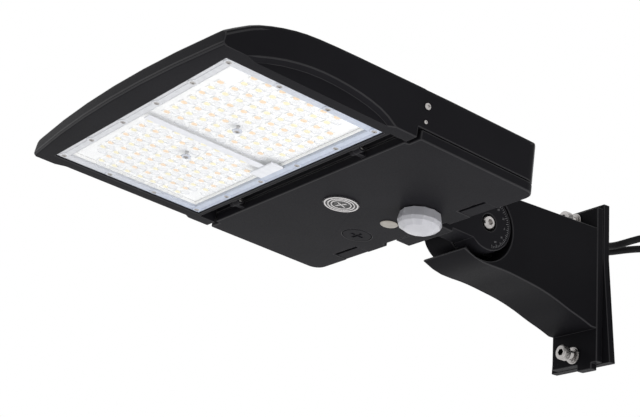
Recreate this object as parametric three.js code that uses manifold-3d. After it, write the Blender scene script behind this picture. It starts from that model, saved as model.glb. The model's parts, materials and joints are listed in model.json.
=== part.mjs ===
import * as THREE from 'three';
import { mergeVertices } from 'three/addons/utils/BufferGeometryUtils.js';
import Module from 'manifold-3d';

const wasm = await Module();
wasm.setup();

// Shoebox area light on a tilting wall arm, in millimetres.
// X runs across the light, Y from its nose towards the wall, Z up.
// The origin is on the flat rear face of the wall plate, on the arm's middle line.

// Overall sizes of the head, in its own frame: nose at Y = 0, underside at Z = 0
const headWidth = 300;
const headLength = 308;
const headHeight = 46.3;
const noseBow = 9;
const wall = 3;
const gap = 0.3;
const overrun = 2;

// Pivot of the head on the arm
const hubFromRear = 52.3;
const hubHeightShare = 0.51;
const restTilt = 5;

// Reach of the arm and drop of the pivot, from the wall plate's rear face
const armReach = 159;
const pivotRise = 20;

// Head casting
const ledRear = 164;
const airSlotLength = 16;
const airSlotSide = 13;
const edgeRadius = 5;
const rearCornerRadius = 12;
const cavityCornerSteps = 5;
const noseRound = 2.5;
const rimHeight = 9.5;
const topShares = [
  [0.002, 0.29], [0.067, 0.577], [0.121, 0.734], [0.19, 0.86], [0.261, 0.922],
  [0.38, 0.955], [0.512, 0.97], [0.682, 0.99], [0.9, 1], [0.985, 1],
];
const topSteps = 18;
const edgeStationShare = 0.3;
const cornerStationShare = 0.7;
const innerStationShares = [0.6, 0.3];
const bowEndShare = 0.4;
const rearTopRoundShares = [[1, 0.93], [0.997, 0.975], [0.985, 1]];
const archShares = [
  [0.131, 0.009], [0.313, 0.225], [0.503, 0.335], [0.706, 0.315], [0.878, 0.19], [0.98, -0.02],
];
const archSteps = 14;
const archDepth = 4;
const archChamfer = 3.5;

// LED bay in the underside of the nose
const bezelSide = 16;
const bezelFront = 13.2;
const bayRearWall = 3.8;
const landHeight = 4.5;
const landWidth = 7.3;
const bayHeight = 7.4;
const ledPlate = 4.1;
const finFrontShare = 0.11;
const finChannelCount = 24;
const finThickness = 2.6;

// Lens panel, gasket, boards and their screws
const lensInset = 0.3;
const lensFace = 2;
const lensThickness = 2.2;
const lensFieldRise = 0.5;
const lensRim = 10;
const gasketInset = 7.8;
const gasketWidth = 2.2;
const boardInset = 11;
const boardThickness = 1.5;
const boardMiddleGap = 6;
const screwInset = 5.2;
const screwAcrossShares = [-1, -0.618, -0.206, 0.206, 0.618, 1];
const screwAlongShares = [-1, -0.333, 0.333, 1];
const middleScrewAcrossShare = 0.3;
const screwShank = 1.4;
const screwHole = 1.7;
const screwHead = 2.6;
const screwHeadHeight = 1.4;
const screwReach = 6;
const screwCrownShare = 0.7;
const screwSides = 8;

// Driver cover
const coverSideStep = 0.5;
const coverPlate = 3.2;
const coverBand = 3.2;
const coverHeight = 8.7;
const coverCorner = 11;
const coverCornerSteps = 6;
const coverFrontStep = 4;
const coverFrontStepWidth = 15;
const neckNotchHalf = 43;
const neckNotchDepth = 4;
const sealInset = 1.1;
const sealWidth = 1;
const sealHeight = 1.5;

// Cover hinge: a tongue, a lug and a pin on each side
const hingeAcrossShare = 0.58;
const hingePinY = 6;
const hingePinZ = 4.2;
const hingeEye = 3.6;
const hingePinRadius = 2;
const hingeClearance = 0.15;
const hingeTongueWidth = 5;
const hingeLugWidth = 7.7;
const hingeArmLow = 2.3;
const hingeArmHigh = 6.6;
const hingePinProud = 0.8;

// Sliding catches at the cover's rear edge
const catchAcrossShare = 0.577;
const catchWidth = 33;
const catchLength = 15.5;
const catchPocket = 1.8;
const catchTabThickness = 1;
const catchStemWidth = 8;
const catchStemLength = 4;
const catchTravel = 3;
const catchTop = 14;
const catchNose = 3;
const catchWallGap = 1;

// Sensor, light-sensor window, selector and blanking plug on the cover
const sensorX = 39.6;
const sensorFromRear = 30;
const sensorNeck = 13;
const sensorCollar = 20;
const sensorCollarHeight = 2.4;
const sensorInner = 17;
const sensorNutRadius = 18;
const sensorNutHeight = 5;
const domeHeight = 15.5;
const domeWall = 1.4;
const domeShares = [[1, 0], [1, 0.3], [0.88, 0.72], [0.62, 0.93], [0.3, 1], [0, 1]];
const domeSides = 18;
const windowX = -1;
const windowFromRear = 32;
const windowRadius = 7.9;
const windowNeck = 6;
const windowDepth = 7;
const windowProud = 0.8;
const selectorX = -1.5;
const selectorToWindowShare = 0.448;
const selectorBarrel = 11.5;
const selectorFlange = 14;
const selectorFlangeHeight = 2.2;
const selectorDepth = 15;
const dialRadius = 8.6;
const dialHeight = 3.5;
const dialBarHeight = 1;
const dialBarShares = [0.8, 0.2];
const dialRecess = 5;
const capRadius = 16;
const capHeight = 3;
const capWall = 1.2;
const plugX = -47;
const plugFromRear = 32;
const plugRadius = 13.4;
const plugFlange = 1.4;
const plugThread = 10.6;
const plugDepth = 8;
const plugCross = 13;
const plugCrossWidth = 2.6;
const plugCrossDepth = 0.9;
const roundSides = 24;
const hexSides = 6;

// Parts inside the driver box
const boxRoof = 3.3;
const driverWidth = 112;
const driverHeight = 25;
const driverEnd = 6;
const driverRearGap = 3;
const surgeWidth = 46;
const surgeLength = 34;
const surgeHeight = 20;
const terminalWidth = 30;
const terminalLength = 18;
const terminalHeight = 14;
const boxItemGap = 8;

// Side wall screws, in pairs
const sideScrewFromSlot = 6.2;
const sideScrewUpperShare = 0.628;
const sideScrewLowerShare = 0.335;
const sideScrewHeads = [3, 1.7];
const sideScrewHeadShares = [[1, 0], [0.8, 0.4], [0.3, 0.5], [0, 0.5]];
const sideScrewSides = 12;
const sideScrewShank = 1.1;
const sideScrewLength = 7;

// Neck and the head's half of the knuckle
const neckLeft = 25.7;
const hubFace = 34;
const neckBlockLength = 11.6;
const neckBlockHeight = 40;
const tongueHalf = 20;
const hubRadius = 26;
const hubSplit = 7.8;
const hubToothRing = 1.4;
const hubToothRadius = 20;
const wireWayWidth = 16;
const wireWayHalf = 9;
const wireWayBehindHub = 28;
const hubSides = 48;

// Arm casting, its profile given from the pivot
const armHalf = 28.3;
const armTop = 35;
const armWall = 4;
const cheekRadius = 34.2;
const cheekStartAngle = 50;
const cheekEndAngle = 231;
const armLowerShares = [
  [-0.147, -0.82], [-0.02, -1.03], [0.17, -1.08], [0.3, -1.155], [0.436, -1.254],
  [0.56, -1.4], [0.675, -1.577], [0.78, -1.72], [0.862, -1.851],
];
const armLowerSteps = 22;
const armHollowSteps = 10;
const cheekSteps = 26;
const barrelLeft = 27;
const barrelGap = 6.2;
const webHalf = 20;
const armHollowFront = 46;
const armHollowDropShare = 0.1;
const armWirePort = 10;
const armWirePortLeft = 8;
const armWirePortRight = 22;

// Flange, wall plate and the two mounting bolts
const flangeHalf = 28.8;
const flangeThickness = 8;
const flangeTop = 56;
const flangeBottom = 97;
const flangeLip = 6;
const flangeLipSpan = [4, 22];
const plateThickness = 7.5;
const plateTop = 61;
const plateBottom = 97.5;
const plateTopHalf = 29.3;
const plateBottomHalf = 37.7;
const plateKink = 6;
const upperBoltRise = 47;
const lowerBoltDrop = 87;
const boltRadius = 4;
const boltHole = 4.4;
const boltHead = 7;
const boltHeadHeight = 7;
const boltHeadSocket = 3.2;
const boltHeadAway = 12.5;
const boltTail = 13;
const washerRadius = 8.2;
const washerThickness = 1.8;

// Pivot bolt and nut
const pivotHead = 6.75;
const pivotHeadHeight = 4.5;
const pivotHeadShares = [[1, 0.8], [0.85, 1], [0, 1]];
const pivotSocket = 2.6;
const pivotRecess = 8.25;
const pivotRecessDepth = 3.4;
const pivotHole = 4.3;
const pivotShank = 4;
const pivotNut = 7.6;
const pivotNutHeight = 6;
const pivotTail = 2;

// Cords: supply and dimming leads, each a bare-ended pigtail put away as a hanging coil
const cordDiameter = 7;
const cordSides = 8;
const cordSteps = 40;
const cordPorts = [[7, 49.6], [-9, 46.8]];
const reliefInside = 7;
const reliefOutside = 14;
const reliefStraight = 3;
const reliefTipRadius = 4.4;
const cordPortHole = 7;
const cordLength = 1000;
const coilRadius = 38.5;
const coilPitch = 7.6;
const coilStepsPerLoop = 24;
const coilSides = 6;
const tieWidth = 5;
const tieThickness = 1.4;
const supplyRoute = [
  [7, 14.4, 49.6], [7, 17.4, 49.7], [7.4, 21, 50.4], [9.4, 28.2, 52.4], [14.2, 35.9, 55.7],
  [20.7, 42, 58.6], [27.3, 46.5, 60.4], [34.3, 50.7, 61], [40.6, 53.8, 59.5], [46.2, 55.9, 55.9],
  [50.9, 57.1, 50.6], [54.6, 57.8, 44], [57.4, 58, 36.2], [59.5, 58, 28.4], [59.9, 58, 22.8],
  [60, 58, 17],
];
const dimmingRoute = [
  [-9, 14.4, 46.8], [-9, 17.4, 46.9], [-8.8, 20.4, 47.3], [-7.7, 26.2, 48.4], [-5.3, 32.6, 50],
  [-1.6, 38.9, 51.5], [3.2, 45.2, 53.1], [8.6, 52, 54.6], [16.4, 61.6, 56], [25, 70.9, 56],
  [33.6, 78.7, 54.3], [41.8, 85.4, 51.1], [49, 90.8, 46.1], [54.6, 94.7, 39.3], [58.3, 97.2, 31.2],
  [59.8, 98, 23.4], [60, 98, 17],
];

const half = headWidth / 2;
const hubY = headLength + hubFromRear;
const hubZ = headHeight * hubHeightShare;
const slotRear = ledRear + airSlotLength;
const slotHalf = half - airSlotSide;
const bayHalf = half - bezelSide;
const bayRear = ledRear - bayRearWall;
const bayMiddle = (bezelFront + bayRear) / 2;
const boxRoofZ = headHeight - boxRoof;
const pivotY = -armReach;

// Makes a closed, outward-facing indexed geometry out of any three.js geometry
function tidy(geometry) {
  const bare = geometry.clone();
  bare.deleteAttribute('normal');
  bare.deleteAttribute('uv');
  const merged = mergeVertices(bare, 1e-4);
  const position = merged.attributes.position;
  const index = Array.from(merged.index.array);
  const kept = [];
  for (let i = 0; i < index.length; i += 3) {
    const [a, b, c] = index.slice(i, i + 3);
    if (a !== b && b !== c && a !== c) kept.push(a, b, c);
  }
  const [p, q, r] = [new THREE.Vector3(), new THREE.Vector3(), new THREE.Vector3()];
  let volume = 0;
  for (let i = 0; i < kept.length; i += 3) {
    p.fromBufferAttribute(position, kept[i]);
    q.fromBufferAttribute(position, kept[i + 1]);
    r.fromBufferAttribute(position, kept[i + 2]);
    volume += p.dot(q.cross(r));
  }
  if (volume < 0) kept.reverse();
  merged.setIndex(kept);
  return merged;
}

function solid(geometry) {
  const closed = tidy(geometry);
  const vertProperties = new Float32Array(closed.attributes.position.array);
  const triVerts = new Uint32Array(closed.index.array);
  return new wasm.Manifold(new wasm.Mesh({ numProp: 3, vertProperties, triVerts }));
}

function geometryOf(shape) {
  const cut = shape.getMesh();
  const geometry = new THREE.BufferGeometry();
  geometry.setAttribute('position', new THREE.BufferAttribute(new Float32Array(cut.vertProperties), 3));
  geometry.setIndex(Array.from(cut.triVerts));
  return geometry;
}

const join = (...shapes) => shapes.reduce((whole, shape) => whole.add(shape));
const cut = (shape, ...tools) => tools.reduce((left, tool) => left.subtract(tool), shape);

// Block between two corners
function block([x0, y0, z0], [x1, y1, z1]) {
  const geometry = new THREE.BoxGeometry(x1 - x0, y1 - y0, z1 - z0);
  geometry.translate((x0 + x1) / 2, (y0 + y1) / 2, (z0 + z1) / 2);
  return solid(geometry);
}

// Prism of an outline, from the first height to the second, along one axis:
// along X the outline holds [y, z], along Y [x, z], along Z [x, y]
const prismAxes = {
  x: [[0, 1, 0], [0, 0, 1], [1, 0, 0]],
  y: [[1, 0, 0], [0, 0, 1], [0, -1, 0]],
  z: [[1, 0, 0], [0, 1, 0], [0, 0, 1]],
};

function prism(axis, outline, from, to) {
  const shape = new THREE.Shape(outline.map(([a, b]) => new THREE.Vector2(a, b)));
  const geometry = new THREE.ExtrudeGeometry(shape, { depth: to - from, bevelEnabled: false });
  const [u, v, w] = prismAxes[axis].map((column) => new THREE.Vector3(...column));
  geometry.applyMatrix4(new THREE.Matrix4().makeBasis(u, v, w));
  if (axis === 'x') geometry.translate(from, 0, 0);
  if (axis === 'y') geometry.translate(0, to, 0);
  if (axis === 'z') geometry.translate(0, 0, from);
  return solid(geometry);
}

// Round piece turned about a line along one axis; the profile holds [radius, height] pairs
function turned(axis, centre, profile, sides = roundSides) {
  const closed = [...profile, profile[0]].map(([r, h]) => new THREE.Vector2(r, h));
  const geometry = new THREE.LatheGeometry(closed, sides);
  if (axis === 'x') geometry.rotateZ(-Math.PI / 2);
  if (axis === 'z') geometry.rotateX(Math.PI / 2);
  geometry.translate(...centre);
  return solid(geometry);
}

const rod = (axis, centre, radius, from, to, sides = roundSides) =>
  turned(axis, centre, [[0, from], [radius, from], [radius, to], [0, to]], sides);

const ring = (axis, centre, inner, outer, from, to, sides = roundSides) =>
  turned(axis, centre, [[inner, from], [outer, from], [outer, to], [inner, to]], sides);

const nut = (axis, centre, inner, outer, from, to) => cut(
  rod(axis, centre, outer, from, to, hexSides),
  rod(axis, centre, inner, from - overrun, to + overrun, roundSides),
);

// Closed skin through a row of outlines that have the same number of points
function loft(sections) {
  const count = sections[0].length;
  const vertices = sections.flat(2);
  const index = [];
  for (let s = 0; s < sections.length - 1; s += 1) {
    for (let i = 0; i < count; i += 1) {
      const j = (i + 1) % count;
      const [a, b] = [s * count + i, s * count + j];
      const [c, d] = [a + count, b + count];
      index.push(a, b, d, a, d, c);
    }
  }
  const flat = sections[0].map(([, y, z]) => new THREE.Vector2(y, z));
  const last = (sections.length - 1) * count;
  const turn = THREE.ShapeUtils.isClockWise(flat) ? 1 : -1;
  for (const [a, b, c] of THREE.ShapeUtils.triangulateShape(flat, [])) {
    const face = turn > 0 ? [a, b, c] : [a, c, b];
    index.push(...face, ...[...face].reverse().map((k) => k + last));
  }
  const geometry = new THREE.BufferGeometry();
  geometry.setAttribute('position', new THREE.BufferAttribute(new Float32Array(vertices), 3));
  geometry.setIndex(index);
  return solid(geometry);
}

function arc([cy, cz], radius, fromDegrees, toDegrees, steps) {
  return Array.from({ length: steps + 1 }, (_, i) => {
    const angle = THREE.MathUtils.degToRad(fromDegrees + (toDegrees - fromDegrees) * i / steps);
    return [cy + radius * Math.cos(angle), cz + radius * Math.sin(angle)];
  });
}

function smooth(points, steps) {
  const curve = new THREE.SplineCurve(points.map(([a, b]) => new THREE.Vector2(a, b)));
  return curve.getPoints(steps).map((p) => [p.x, p.y]);
}

// How far a rounded edge falls away at a distance from the side
function roundOff(fromSide, radius) {
  return fromSide < radius ? radius - Math.sqrt(radius ** 2 - (radius - fromSide) ** 2) : 0;
}

// Side outline of the head at one place across it
function headSection(x) {
  const fromSide = half - Math.abs(x);
  const bow = noseBow * (1 - (x / half) ** 2);
  const drop = roundOff(fromSide, edgeRadius);
  const pull = roundOff(fromSide, rearCornerRadius);
  const top = smooth(topShares.map(([y, z]) => [y * headLength, z * headHeight]), topSteps);
  const rear = rearTopRoundShares.slice(0, -1).map(([y, z]) => [y * headLength, z * headHeight]);
  const low = [
    [0, noseRound], [noseRound * (1 - Math.SQRT1_2), noseRound * (1 - Math.SQRT1_2)], [noseRound, 0],
    [slotRear, 0], [slotRear, rimHeight], [headLength, rimHeight],
  ];
  const high = [...rear, ...top.reverse()].map(([y, z]) => [y, z - drop]);
  return [...low, ...high].map(([y, z]) => {
    const shift = bow * Math.max(0, 1 - y / (bowEndShare * headLength));
    return [x, Math.min(y - shift, headLength - pull), z];
  });
}

function roundedPlan(x0, x1, y0, y1, frontRadius, rearRadius, steps) {
  const corner = (x, y, r, from) => (r > 0 ? arc([x, y], r, from, from + 90, steps) : [[x, y]]);
  return [
    ...corner(x0 + frontRadius, y0 + frontRadius, frontRadius, 180),
    ...corner(x1 - frontRadius, y0 + frontRadius, frontRadius, 270),
    ...corner(x1 - rearRadius, y1 - rearRadius, rearRadius, 0),
    ...corner(x0 + rearRadius, y1 - rearRadius, rearRadius, 90),
  ];
}

// Hollow under each side arch, with its chamfer
function archCutter(side) {
  const arch = smooth(archShares.map(([y, z]) => [y * ledRear, z * headHeight]), archSteps);
  const slope = archChamfer / archDepth;
  const section = (inward) => {
    const rise = arch.map(([y, z]) => [side * (half - inward), y, z - slope * inward]);
    const floor = -archChamfer - overrun - slope * archDepth;
    const [first, final] = [rise[0], rise[rise.length - 1]];
    return [...rise, [final[0], final[1], floor], [first[0], first[1], floor]];
  };
  return loft([section(-overrun), section(archDepth)]);
}

// Screw places on the lens rim, then the two in the middle
function lensScrewPlaces() {
  const reachX = bayHalf - lensInset - screwInset;
  const reachY = (bayRear - bezelFront) / 2 - lensInset - screwInset;
  const places = [];
  for (const across of screwAcrossShares) {
    for (const end of [-1, 1]) places.push([across * reachX, bayMiddle + end * reachY]);
  }
  for (const along of screwAlongShares.slice(1, -1)) {
    for (const side of [-1, 1]) places.push([side * reachX, bayMiddle + along * reachY]);
  }
  for (const side of [-1, 1]) places.push([side * middleScrewAcrossShare * reachX, bayMiddle]);
  return places;
}

const screwPlaces = lensScrewPlaces();
const hingeX = [-half * hingeAcrossShare, half * hingeAcrossShare];
const hingeY = ledRear + hingePinY;
const catchX = [-half * catchAcrossShare, half * catchAcrossShare];
const sensorY = headLength - sensorFromRear;
const windowY = headLength - windowFromRear;
const selectorY = slotRear + selectorToWindowShare * (windowY - slotRear);
const plugY = headLength - plugFromRear;
const neckRear = headLength + gap + neckBlockLength;

// Neck block behind the head, and the half knuckle that turns on the arm
function neckAndKnuckle() {
  const front = headLength - neckNotchDepth + gap;
  const blockPart = block([-neckLeft, front, 0], [hubFace, neckRear, neckBlockHeight]);
  const tongue = block([hubSplit, neckRear - overrun, hubZ - tongueHalf], [hubFace, hubY, hubZ + tongueHalf]);
  const disc = rod('x', [0, hubY, hubZ], hubRadius, hubSplit, hubFace, hubSides);
  const toothFace = hubSplit - hubToothRing;
  const teeth = rod('x', [0, hubY, hubZ], hubToothRadius, toothFace, hubSplit + overrun, hubSides);
  return join(blockPart, tongue, disc, teeth);
}

function housingTools() {
  const bay = block([-bayHalf, bezelFront, -overrun], [bayHalf, bayRear, landHeight]);
  const pocket = block(
    [-bayHalf + landWidth, bezelFront + landWidth, 0],
    [bayHalf - landWidth, bayRear - landWidth, bayHeight],
  );
  const airSlot = block([-slotHalf, ledRear, -overrun], [slotHalf, slotRear, headHeight + overrun]);
  const cavityHalf = half - wall;
  const cavityCorner = rearCornerRadius - wall;
  const [cavityFront, cavityRear] = [slotRear + wall, headLength - wall];
  const cavity = prism(
    'z',
    roundedPlan(-cavityHalf, cavityHalf, cavityFront, cavityRear, 0, cavityCorner, cavityCornerSteps),
    rimHeight - overrun,
    boxRoofZ,
  );
  const tools = [bay, pocket, airSlot, cavity, archCutter(-1), archCutter(1)];
  const pitch = (2 * bayHalf) / finChannelCount;
  for (let i = 0; i < finChannelCount; i += 1) {
    const x = -bayHalf + pitch * i + finThickness / 2;
    const floor = bayHeight + ledPlate;
    tools.push(block(
      [x, finFrontShare * headLength, floor],
      [x + pitch - finThickness, ledRear + overrun, headHeight + overrun],
    ));
  }
  return tools;
}

function makeHousing() {
  const stations = [
    half, half - edgeRadius * edgeStationShare, half - edgeRadius,
    half - rearCornerRadius * cornerStationShare, half - rearCornerRadius,
    ...innerStationShares.map((share) => share * half),
  ];
  const across = [...stations.map((x) => -x), 0, ...[...stations].reverse()];
  const shell = cut(loft(across.map(headSection)), ...housingTools());
  const sealSeats = [-1, 1].map((side) => {
    const inner = half - coverFrontStepWidth - coverBand;
    const outer = half - wall / 2;
    return block(
      [Math.min(side * inner, side * outer), slotRear + wall / 2, rimHeight],
      [Math.max(side * inner, side * outer), slotRear + coverFrontStep + wall, boxRoofZ + overrun / 2],
    );
  });
  const neckSeat = block(
    [-neckNotchHalf - coverBand, headLength - neckNotchDepth - coverBand, rimHeight],
    [neckNotchHalf + coverBand, headLength - wall / 2, boxRoofZ + overrun / 2],
  );
  const lugs = hingeX.map((x) => {
    const middle = x + hingeTongueWidth / 2;
    const [from, to] = [middle - hingeLugWidth / 2, middle + hingeLugWidth / 2];
    const arm = block([from, ledRear - overrun, hingeArmLow], [to, hingeY, hingeArmHigh]);
    return join(arm, rod('x', [0, hingeY, hingePinZ], hingeEye, from, to, roundSides));
  });
  const whole = join(shell, ...sealSeats, neckSeat, ...lugs, neckAndKnuckle());
  const pinBores = hingeX.map((x) => {
    const reach = hingeTongueWidth + hingeLugWidth;
    const bore = hingePinRadius + hingeClearance;
    return rod('x', [0, hingeY, hingePinZ], bore, x - reach, x + reach, roundSides);
  });
  const screwBores = screwPlaces.map(([x, y]) =>
    rod('z', [x, y, 0], screwHole, landHeight - overrun, lensFace + screwReach + overrun, screwSides));
  const pivotBore = rod('x', [0, hubY, hubZ], pivotHole, 0, hubFace + overrun, roundSides);
  const recessFloor = hubFace - pivotRecessDepth;
  const recess = rod('x', [0, hubY, hubZ], pivotRecess, recessFloor, hubFace + overrun, roundSides);
  const wayLeft = (hubSplit + hubFace - wireWayWidth) / 2;
  const wireWay = block(
    [wayLeft, headLength - neckNotchDepth - coverBand - overrun, hubZ - wireWayHalf],
    [wayLeft + wireWayWidth, hubY - wireWayBehindHub, hubZ + wireWayHalf],
  );
  const wireTurn = block(
    [hubSplit - hubToothRing - overrun, neckRear + gap, hubZ - wireWayHalf],
    [wayLeft + overrun, hubY - wireWayBehindHub, hubZ + wireWayHalf],
  );
  const sideBores = sideScrewPlaces().map(({ side, z, y }) => {
    const [inner, outer] = [half - sideScrewLength - gap, half + overrun];
    const [from, to] = side < 0 ? [-outer, -inner] : [inner, outer];
    return rod('x', [0, y, z], sideScrewShank + gap, from, to, screwSides);
  });
  return cut(whole, ...pinBores, ...screwBores, pivotBore, recess, wireWay, wireTurn, ...sideBores);
}

function sideScrewPlaces() {
  const places = [];
  for (const side of [-1, 1]) {
    [sideScrewUpperShare, sideScrewLowerShare].forEach((share, i) => {
      places.push({ side, y: slotRear + sideScrewFromSlot, z: share * headHeight, head: sideScrewHeads[i] });
    });
  }
  return places;
}

// Lens panel with a raised field, and the holes for its screws
function makeLens() {
  const [x, y0, y1] = [bayHalf - lensInset, bezelFront + lensInset, bayRear - lensInset];
  const rim = block([-x, y0, lensFace], [x, y1, lensFace + lensThickness]);
  const fieldHalf = x - lensRim;
  const field = block(
    [-fieldHalf, y0 + lensRim, lensFace - lensFieldRise],
    [fieldHalf, y1 - lensRim, lensFace + overrun / 2],
  );
  const holes = screwPlaces.map(([sx, sy]) =>
    rod('z', [sx, sy, 0], screwHole, 0, lensFace + lensThickness + overrun, screwSides));
  return cut(join(rim, field), ...holes);
}

function makeLensGasket() {
  const outer = { x: bayHalf - gasketInset, y: (bayRear - bezelFront) / 2 - gasketInset };
  const inner = { x: outer.x - gasketWidth, y: outer.y - gasketWidth };
  const [z0, z1] = [lensFace + lensThickness + gap, bayHeight - gap / 2];
  return cut(
    block([-outer.x, bayMiddle - outer.y, z0], [outer.x, bayMiddle + outer.y, z1]),
    block([-inner.x, bayMiddle - inner.y, z0 - overrun], [inner.x, bayMiddle + inner.y, z1 + overrun]),
  );
}

function makeBoard(side) {
  const [inner, outer] = [boardMiddleGap / 2, bayHalf - boardInset];
  const reach = (bayRear - bezelFront) / 2 - boardInset;
  const [z0, z1] = [bayHeight - gap - boardThickness, bayHeight - gap];
  const [x, y] = screwPlaces[screwPlaces.length - (side < 0 ? 2 : 1)];
  return cut(
    block(
      [Math.min(side * inner, side * outer), bayMiddle - reach, z0],
      [Math.max(side * inner, side * outer), bayMiddle + reach, z1],
    ),
    rod('z', [x, y, 0], screwHole, z0 - overrun, z1 + overrun, screwSides),
  );
}

function makeLensScrew([x, y]) {
  const under = lensFace - gap;
  const isMiddle = Math.abs(y - bayMiddle) < lensRim && Math.abs(x) < bayHalf / 2;
  const seat = isMiddle ? under - lensFieldRise : under;
  const top = lensFace + screwReach;
  return turned('z', [x, y, 0], [
    [0, seat - screwHeadHeight], [screwHead * screwCrownShare, seat - screwHeadHeight],
    [screwHead, seat - screwHeadHeight / 2],
    [screwHead, seat], [screwShank, seat], [screwShank, top], [0, top],
  ], screwSides);
}

// Plan outline of the cover, drawn in by an inset
function coverPlan(inset) {
  const side = half - coverSideStep - inset;
  const stepX = half - coverFrontStepWidth - inset;
  const front = slotRear + inset;
  const stepY = front + coverFrontStep;
  const rear = headLength - inset;
  const notch = neckNotchHalf + inset;
  const radius = coverCorner - inset;
  return [
    [-stepX, front], [stepX, front], [stepX, stepY], [side, stepY],
    ...arc([side - radius, rear - radius], radius, 0, 90, coverCornerSteps),
    [notch, rear], [notch, rear - neckNotchDepth], [-notch, rear - neckNotchDepth], [-notch, rear],
    ...arc([radius - side, rear - radius], radius, 90, 180, coverCornerSteps),
    [-side, stepY], [-stepX, stepY],
  ];
}

function makeCover() {
  const pan = cut(
    prism('z', coverPlan(0), 0, coverHeight),
    prism('z', coverPlan(coverBand), coverPlate, coverHeight + overrun),
  );
  const grooveFloor = coverHeight - sealHeight + gap;
  const grooveTop = coverHeight + overrun;
  const sealOuter = prism('z', coverPlan(sealInset - gap / 3), grooveFloor, grooveTop);
  const sealInner = prism('z', coverPlan(sealInset + sealWidth + gap / 3), 0, grooveTop + overrun);
  const groove = cut(sealOuter, sealInner);
  const tongues = hingeX.map((x) => {
    const middle = x - hingeLugWidth / 2 - gap;
    const [from, to] = [middle - hingeTongueWidth / 2, middle + hingeTongueWidth / 2];
    const arm = block([from, hingeY, hingeArmLow], [to, slotRear + coverBand / 2, hingeArmHigh]);
    return join(arm, rod('x', [0, hingeY, hingePinZ], hingeEye, from, to, roundSides));
  });
  const pinBores = hingeX.map((x) => {
    const [from, to] = [x - hingeLugWidth * 2, x + hingeLugWidth];
    return rod('x', [0, hingeY, hingePinZ], hingePinRadius + hingeClearance, from, to, roundSides);
  });
  const hole = (x, y, radius) => rod('z', [x, y, 0], radius, -overrun, coverPlate + overrun, roundSides);
  const holes = [
    hole(sensorX, sensorY, sensorNeck + gap),
    hole(windowX, windowY, windowNeck + gap),
    hole(selectorX, selectorY, selectorBarrel + gap),
    hole(plugX, plugY, plugThread + gap),
    rod('z', [plugX, plugY, 0], plugRadius + gap, -overrun, plugFlange + gap, roundSides),
  ];
  const catches = catchX.flatMap((x) => {
    const reach = headLength - catchLength;
    const slotFront = reach + gap;
    const slotRearEnd = slotFront + catchTravel + catchStemLength + 2 * gap;
    return [
      block([x - catchWidth / 2, reach, -overrun], [x + catchWidth / 2, headLength + overrun, catchPocket]),
      block(
        [x - catchStemWidth / 2 - gap, slotFront, -overrun],
        [x + catchStemWidth / 2 + gap, slotRearEnd, coverPlate + overrun],
      ),
    ];
  });
  return cut(join(pan, ...tongues), groove, ...pinBores, ...holes, ...catches);
}

function makeCoverSeal() {
  const base = coverHeight - sealHeight + 1.5 * gap;
  return cut(
    prism('z', coverPlan(sealInset), base, rimHeight - gap),
    prism('z', coverPlan(sealInset + sealWidth), 0, rimHeight + overrun),
  );
}

function makeHingePin(x) {
  const from = x - hingeLugWidth / 2 - hingeTongueWidth / 2 - gap;
  const to = x + hingeLugWidth / 2 + hingeTongueWidth / 2;
  return rod('x', [0, hingeY, hingePinZ], hingePinRadius, from, to + hingePinProud, roundSides);
}

// Sliding catch: a finger tab in the pocket, a stem through the cover and a nose by the rear wall
function makeCatch(x) {
  const front = headLength - catchLength + gap;
  const stemFront = front + catchTravel + gap;
  const stemRear = stemFront + catchStemLength;
  const tabTop = catchPocket - gap;
  const tab = block(
    [x - catchWidth / 2 + gap, front + catchTravel, tabTop - catchTabThickness],
    [x + catchWidth / 2 - gap, headLength - gap, tabTop],
  );
  const stem = block(
    [x - catchStemWidth / 2, stemFront, tabTop - catchTabThickness / 2],
    [x + catchStemWidth / 2, stemRear, catchTop],
  );
  const nose = block(
    [x - catchStemWidth / 2, stemFront, catchTop - catchNose],
    [x + catchStemWidth / 2, headLength - wall - catchWallGap, catchTop],
  );
  return join(tab, stem, nose);
}

function makeSensorBody() {
  const inside = coverPlate + sensorInner;
  return turned('z', [sensorX, sensorY, 0], [
    [0, -gap - sensorCollarHeight], [sensorCollar, -gap - sensorCollarHeight], [sensorCollar, -gap],
    [sensorNeck, -gap], [sensorNeck, inside], [0, inside],
  ]);
}

function makeSensorNut() {
  const face = coverPlate + gap;
  return nut('z', [sensorX, sensorY, 0], sensorNeck + gap, sensorNutRadius, face, face + sensorNutHeight);
}

function makeDome() {
  const base = -2 * gap - sensorCollarHeight;
  const bowl = (radius, height) => domeShares.map(([out, down]) => [radius * out, base - height * down]);
  const outer = bowl(sensorCollar, domeHeight);
  const inner = bowl(sensorCollar - domeWall, domeHeight - domeWall);
  return turned('z', [sensorX, sensorY, 0], [...outer, ...inner.reverse()], domeSides);
}

function makeSelector() {
  const bottom = gap / 3;
  const top = coverPlate + selectorDepth;
  return turned('z', [selectorX, selectorY, 0], [
    [0, dialRecess], [dialRadius + gap, dialRecess], [dialRadius + gap, bottom], [selectorBarrel, bottom],
    [selectorBarrel, coverPlate + gap], [selectorFlange, coverPlate + gap],
    [selectorFlange, coverPlate + gap + selectorFlangeHeight],
    [selectorBarrel, coverPlate + gap + selectorFlangeHeight],
    [selectorBarrel, top], [0, top],
  ]);
}

function makeDial() {
  const top = dialRecess - gap;
  const base = top - dialHeight;
  const disc = rod('z', [selectorX, selectorY, 0], dialRadius, base, top, roundSides);
  const [long, thin] = dialBarShares.map((share) => share * dialRadius);
  const bar = block(
    [selectorX - long, selectorY - thin, base - dialBarHeight],
    [selectorX + long, selectorY + thin, base + overrun / 2],
  );
  return join(disc, bar);
}

function makeSelectorCap() {
  return turned('z', [selectorX, selectorY, 0], [
    [0, -capHeight], [capRadius - capWall, -capHeight], [capRadius, -capHeight + capWall], [capRadius, -gap],
    [capRadius - capWall, -gap], [capRadius - 2 * capWall, capWall - capHeight], [0, capWall - capHeight],
  ]);
}

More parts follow.
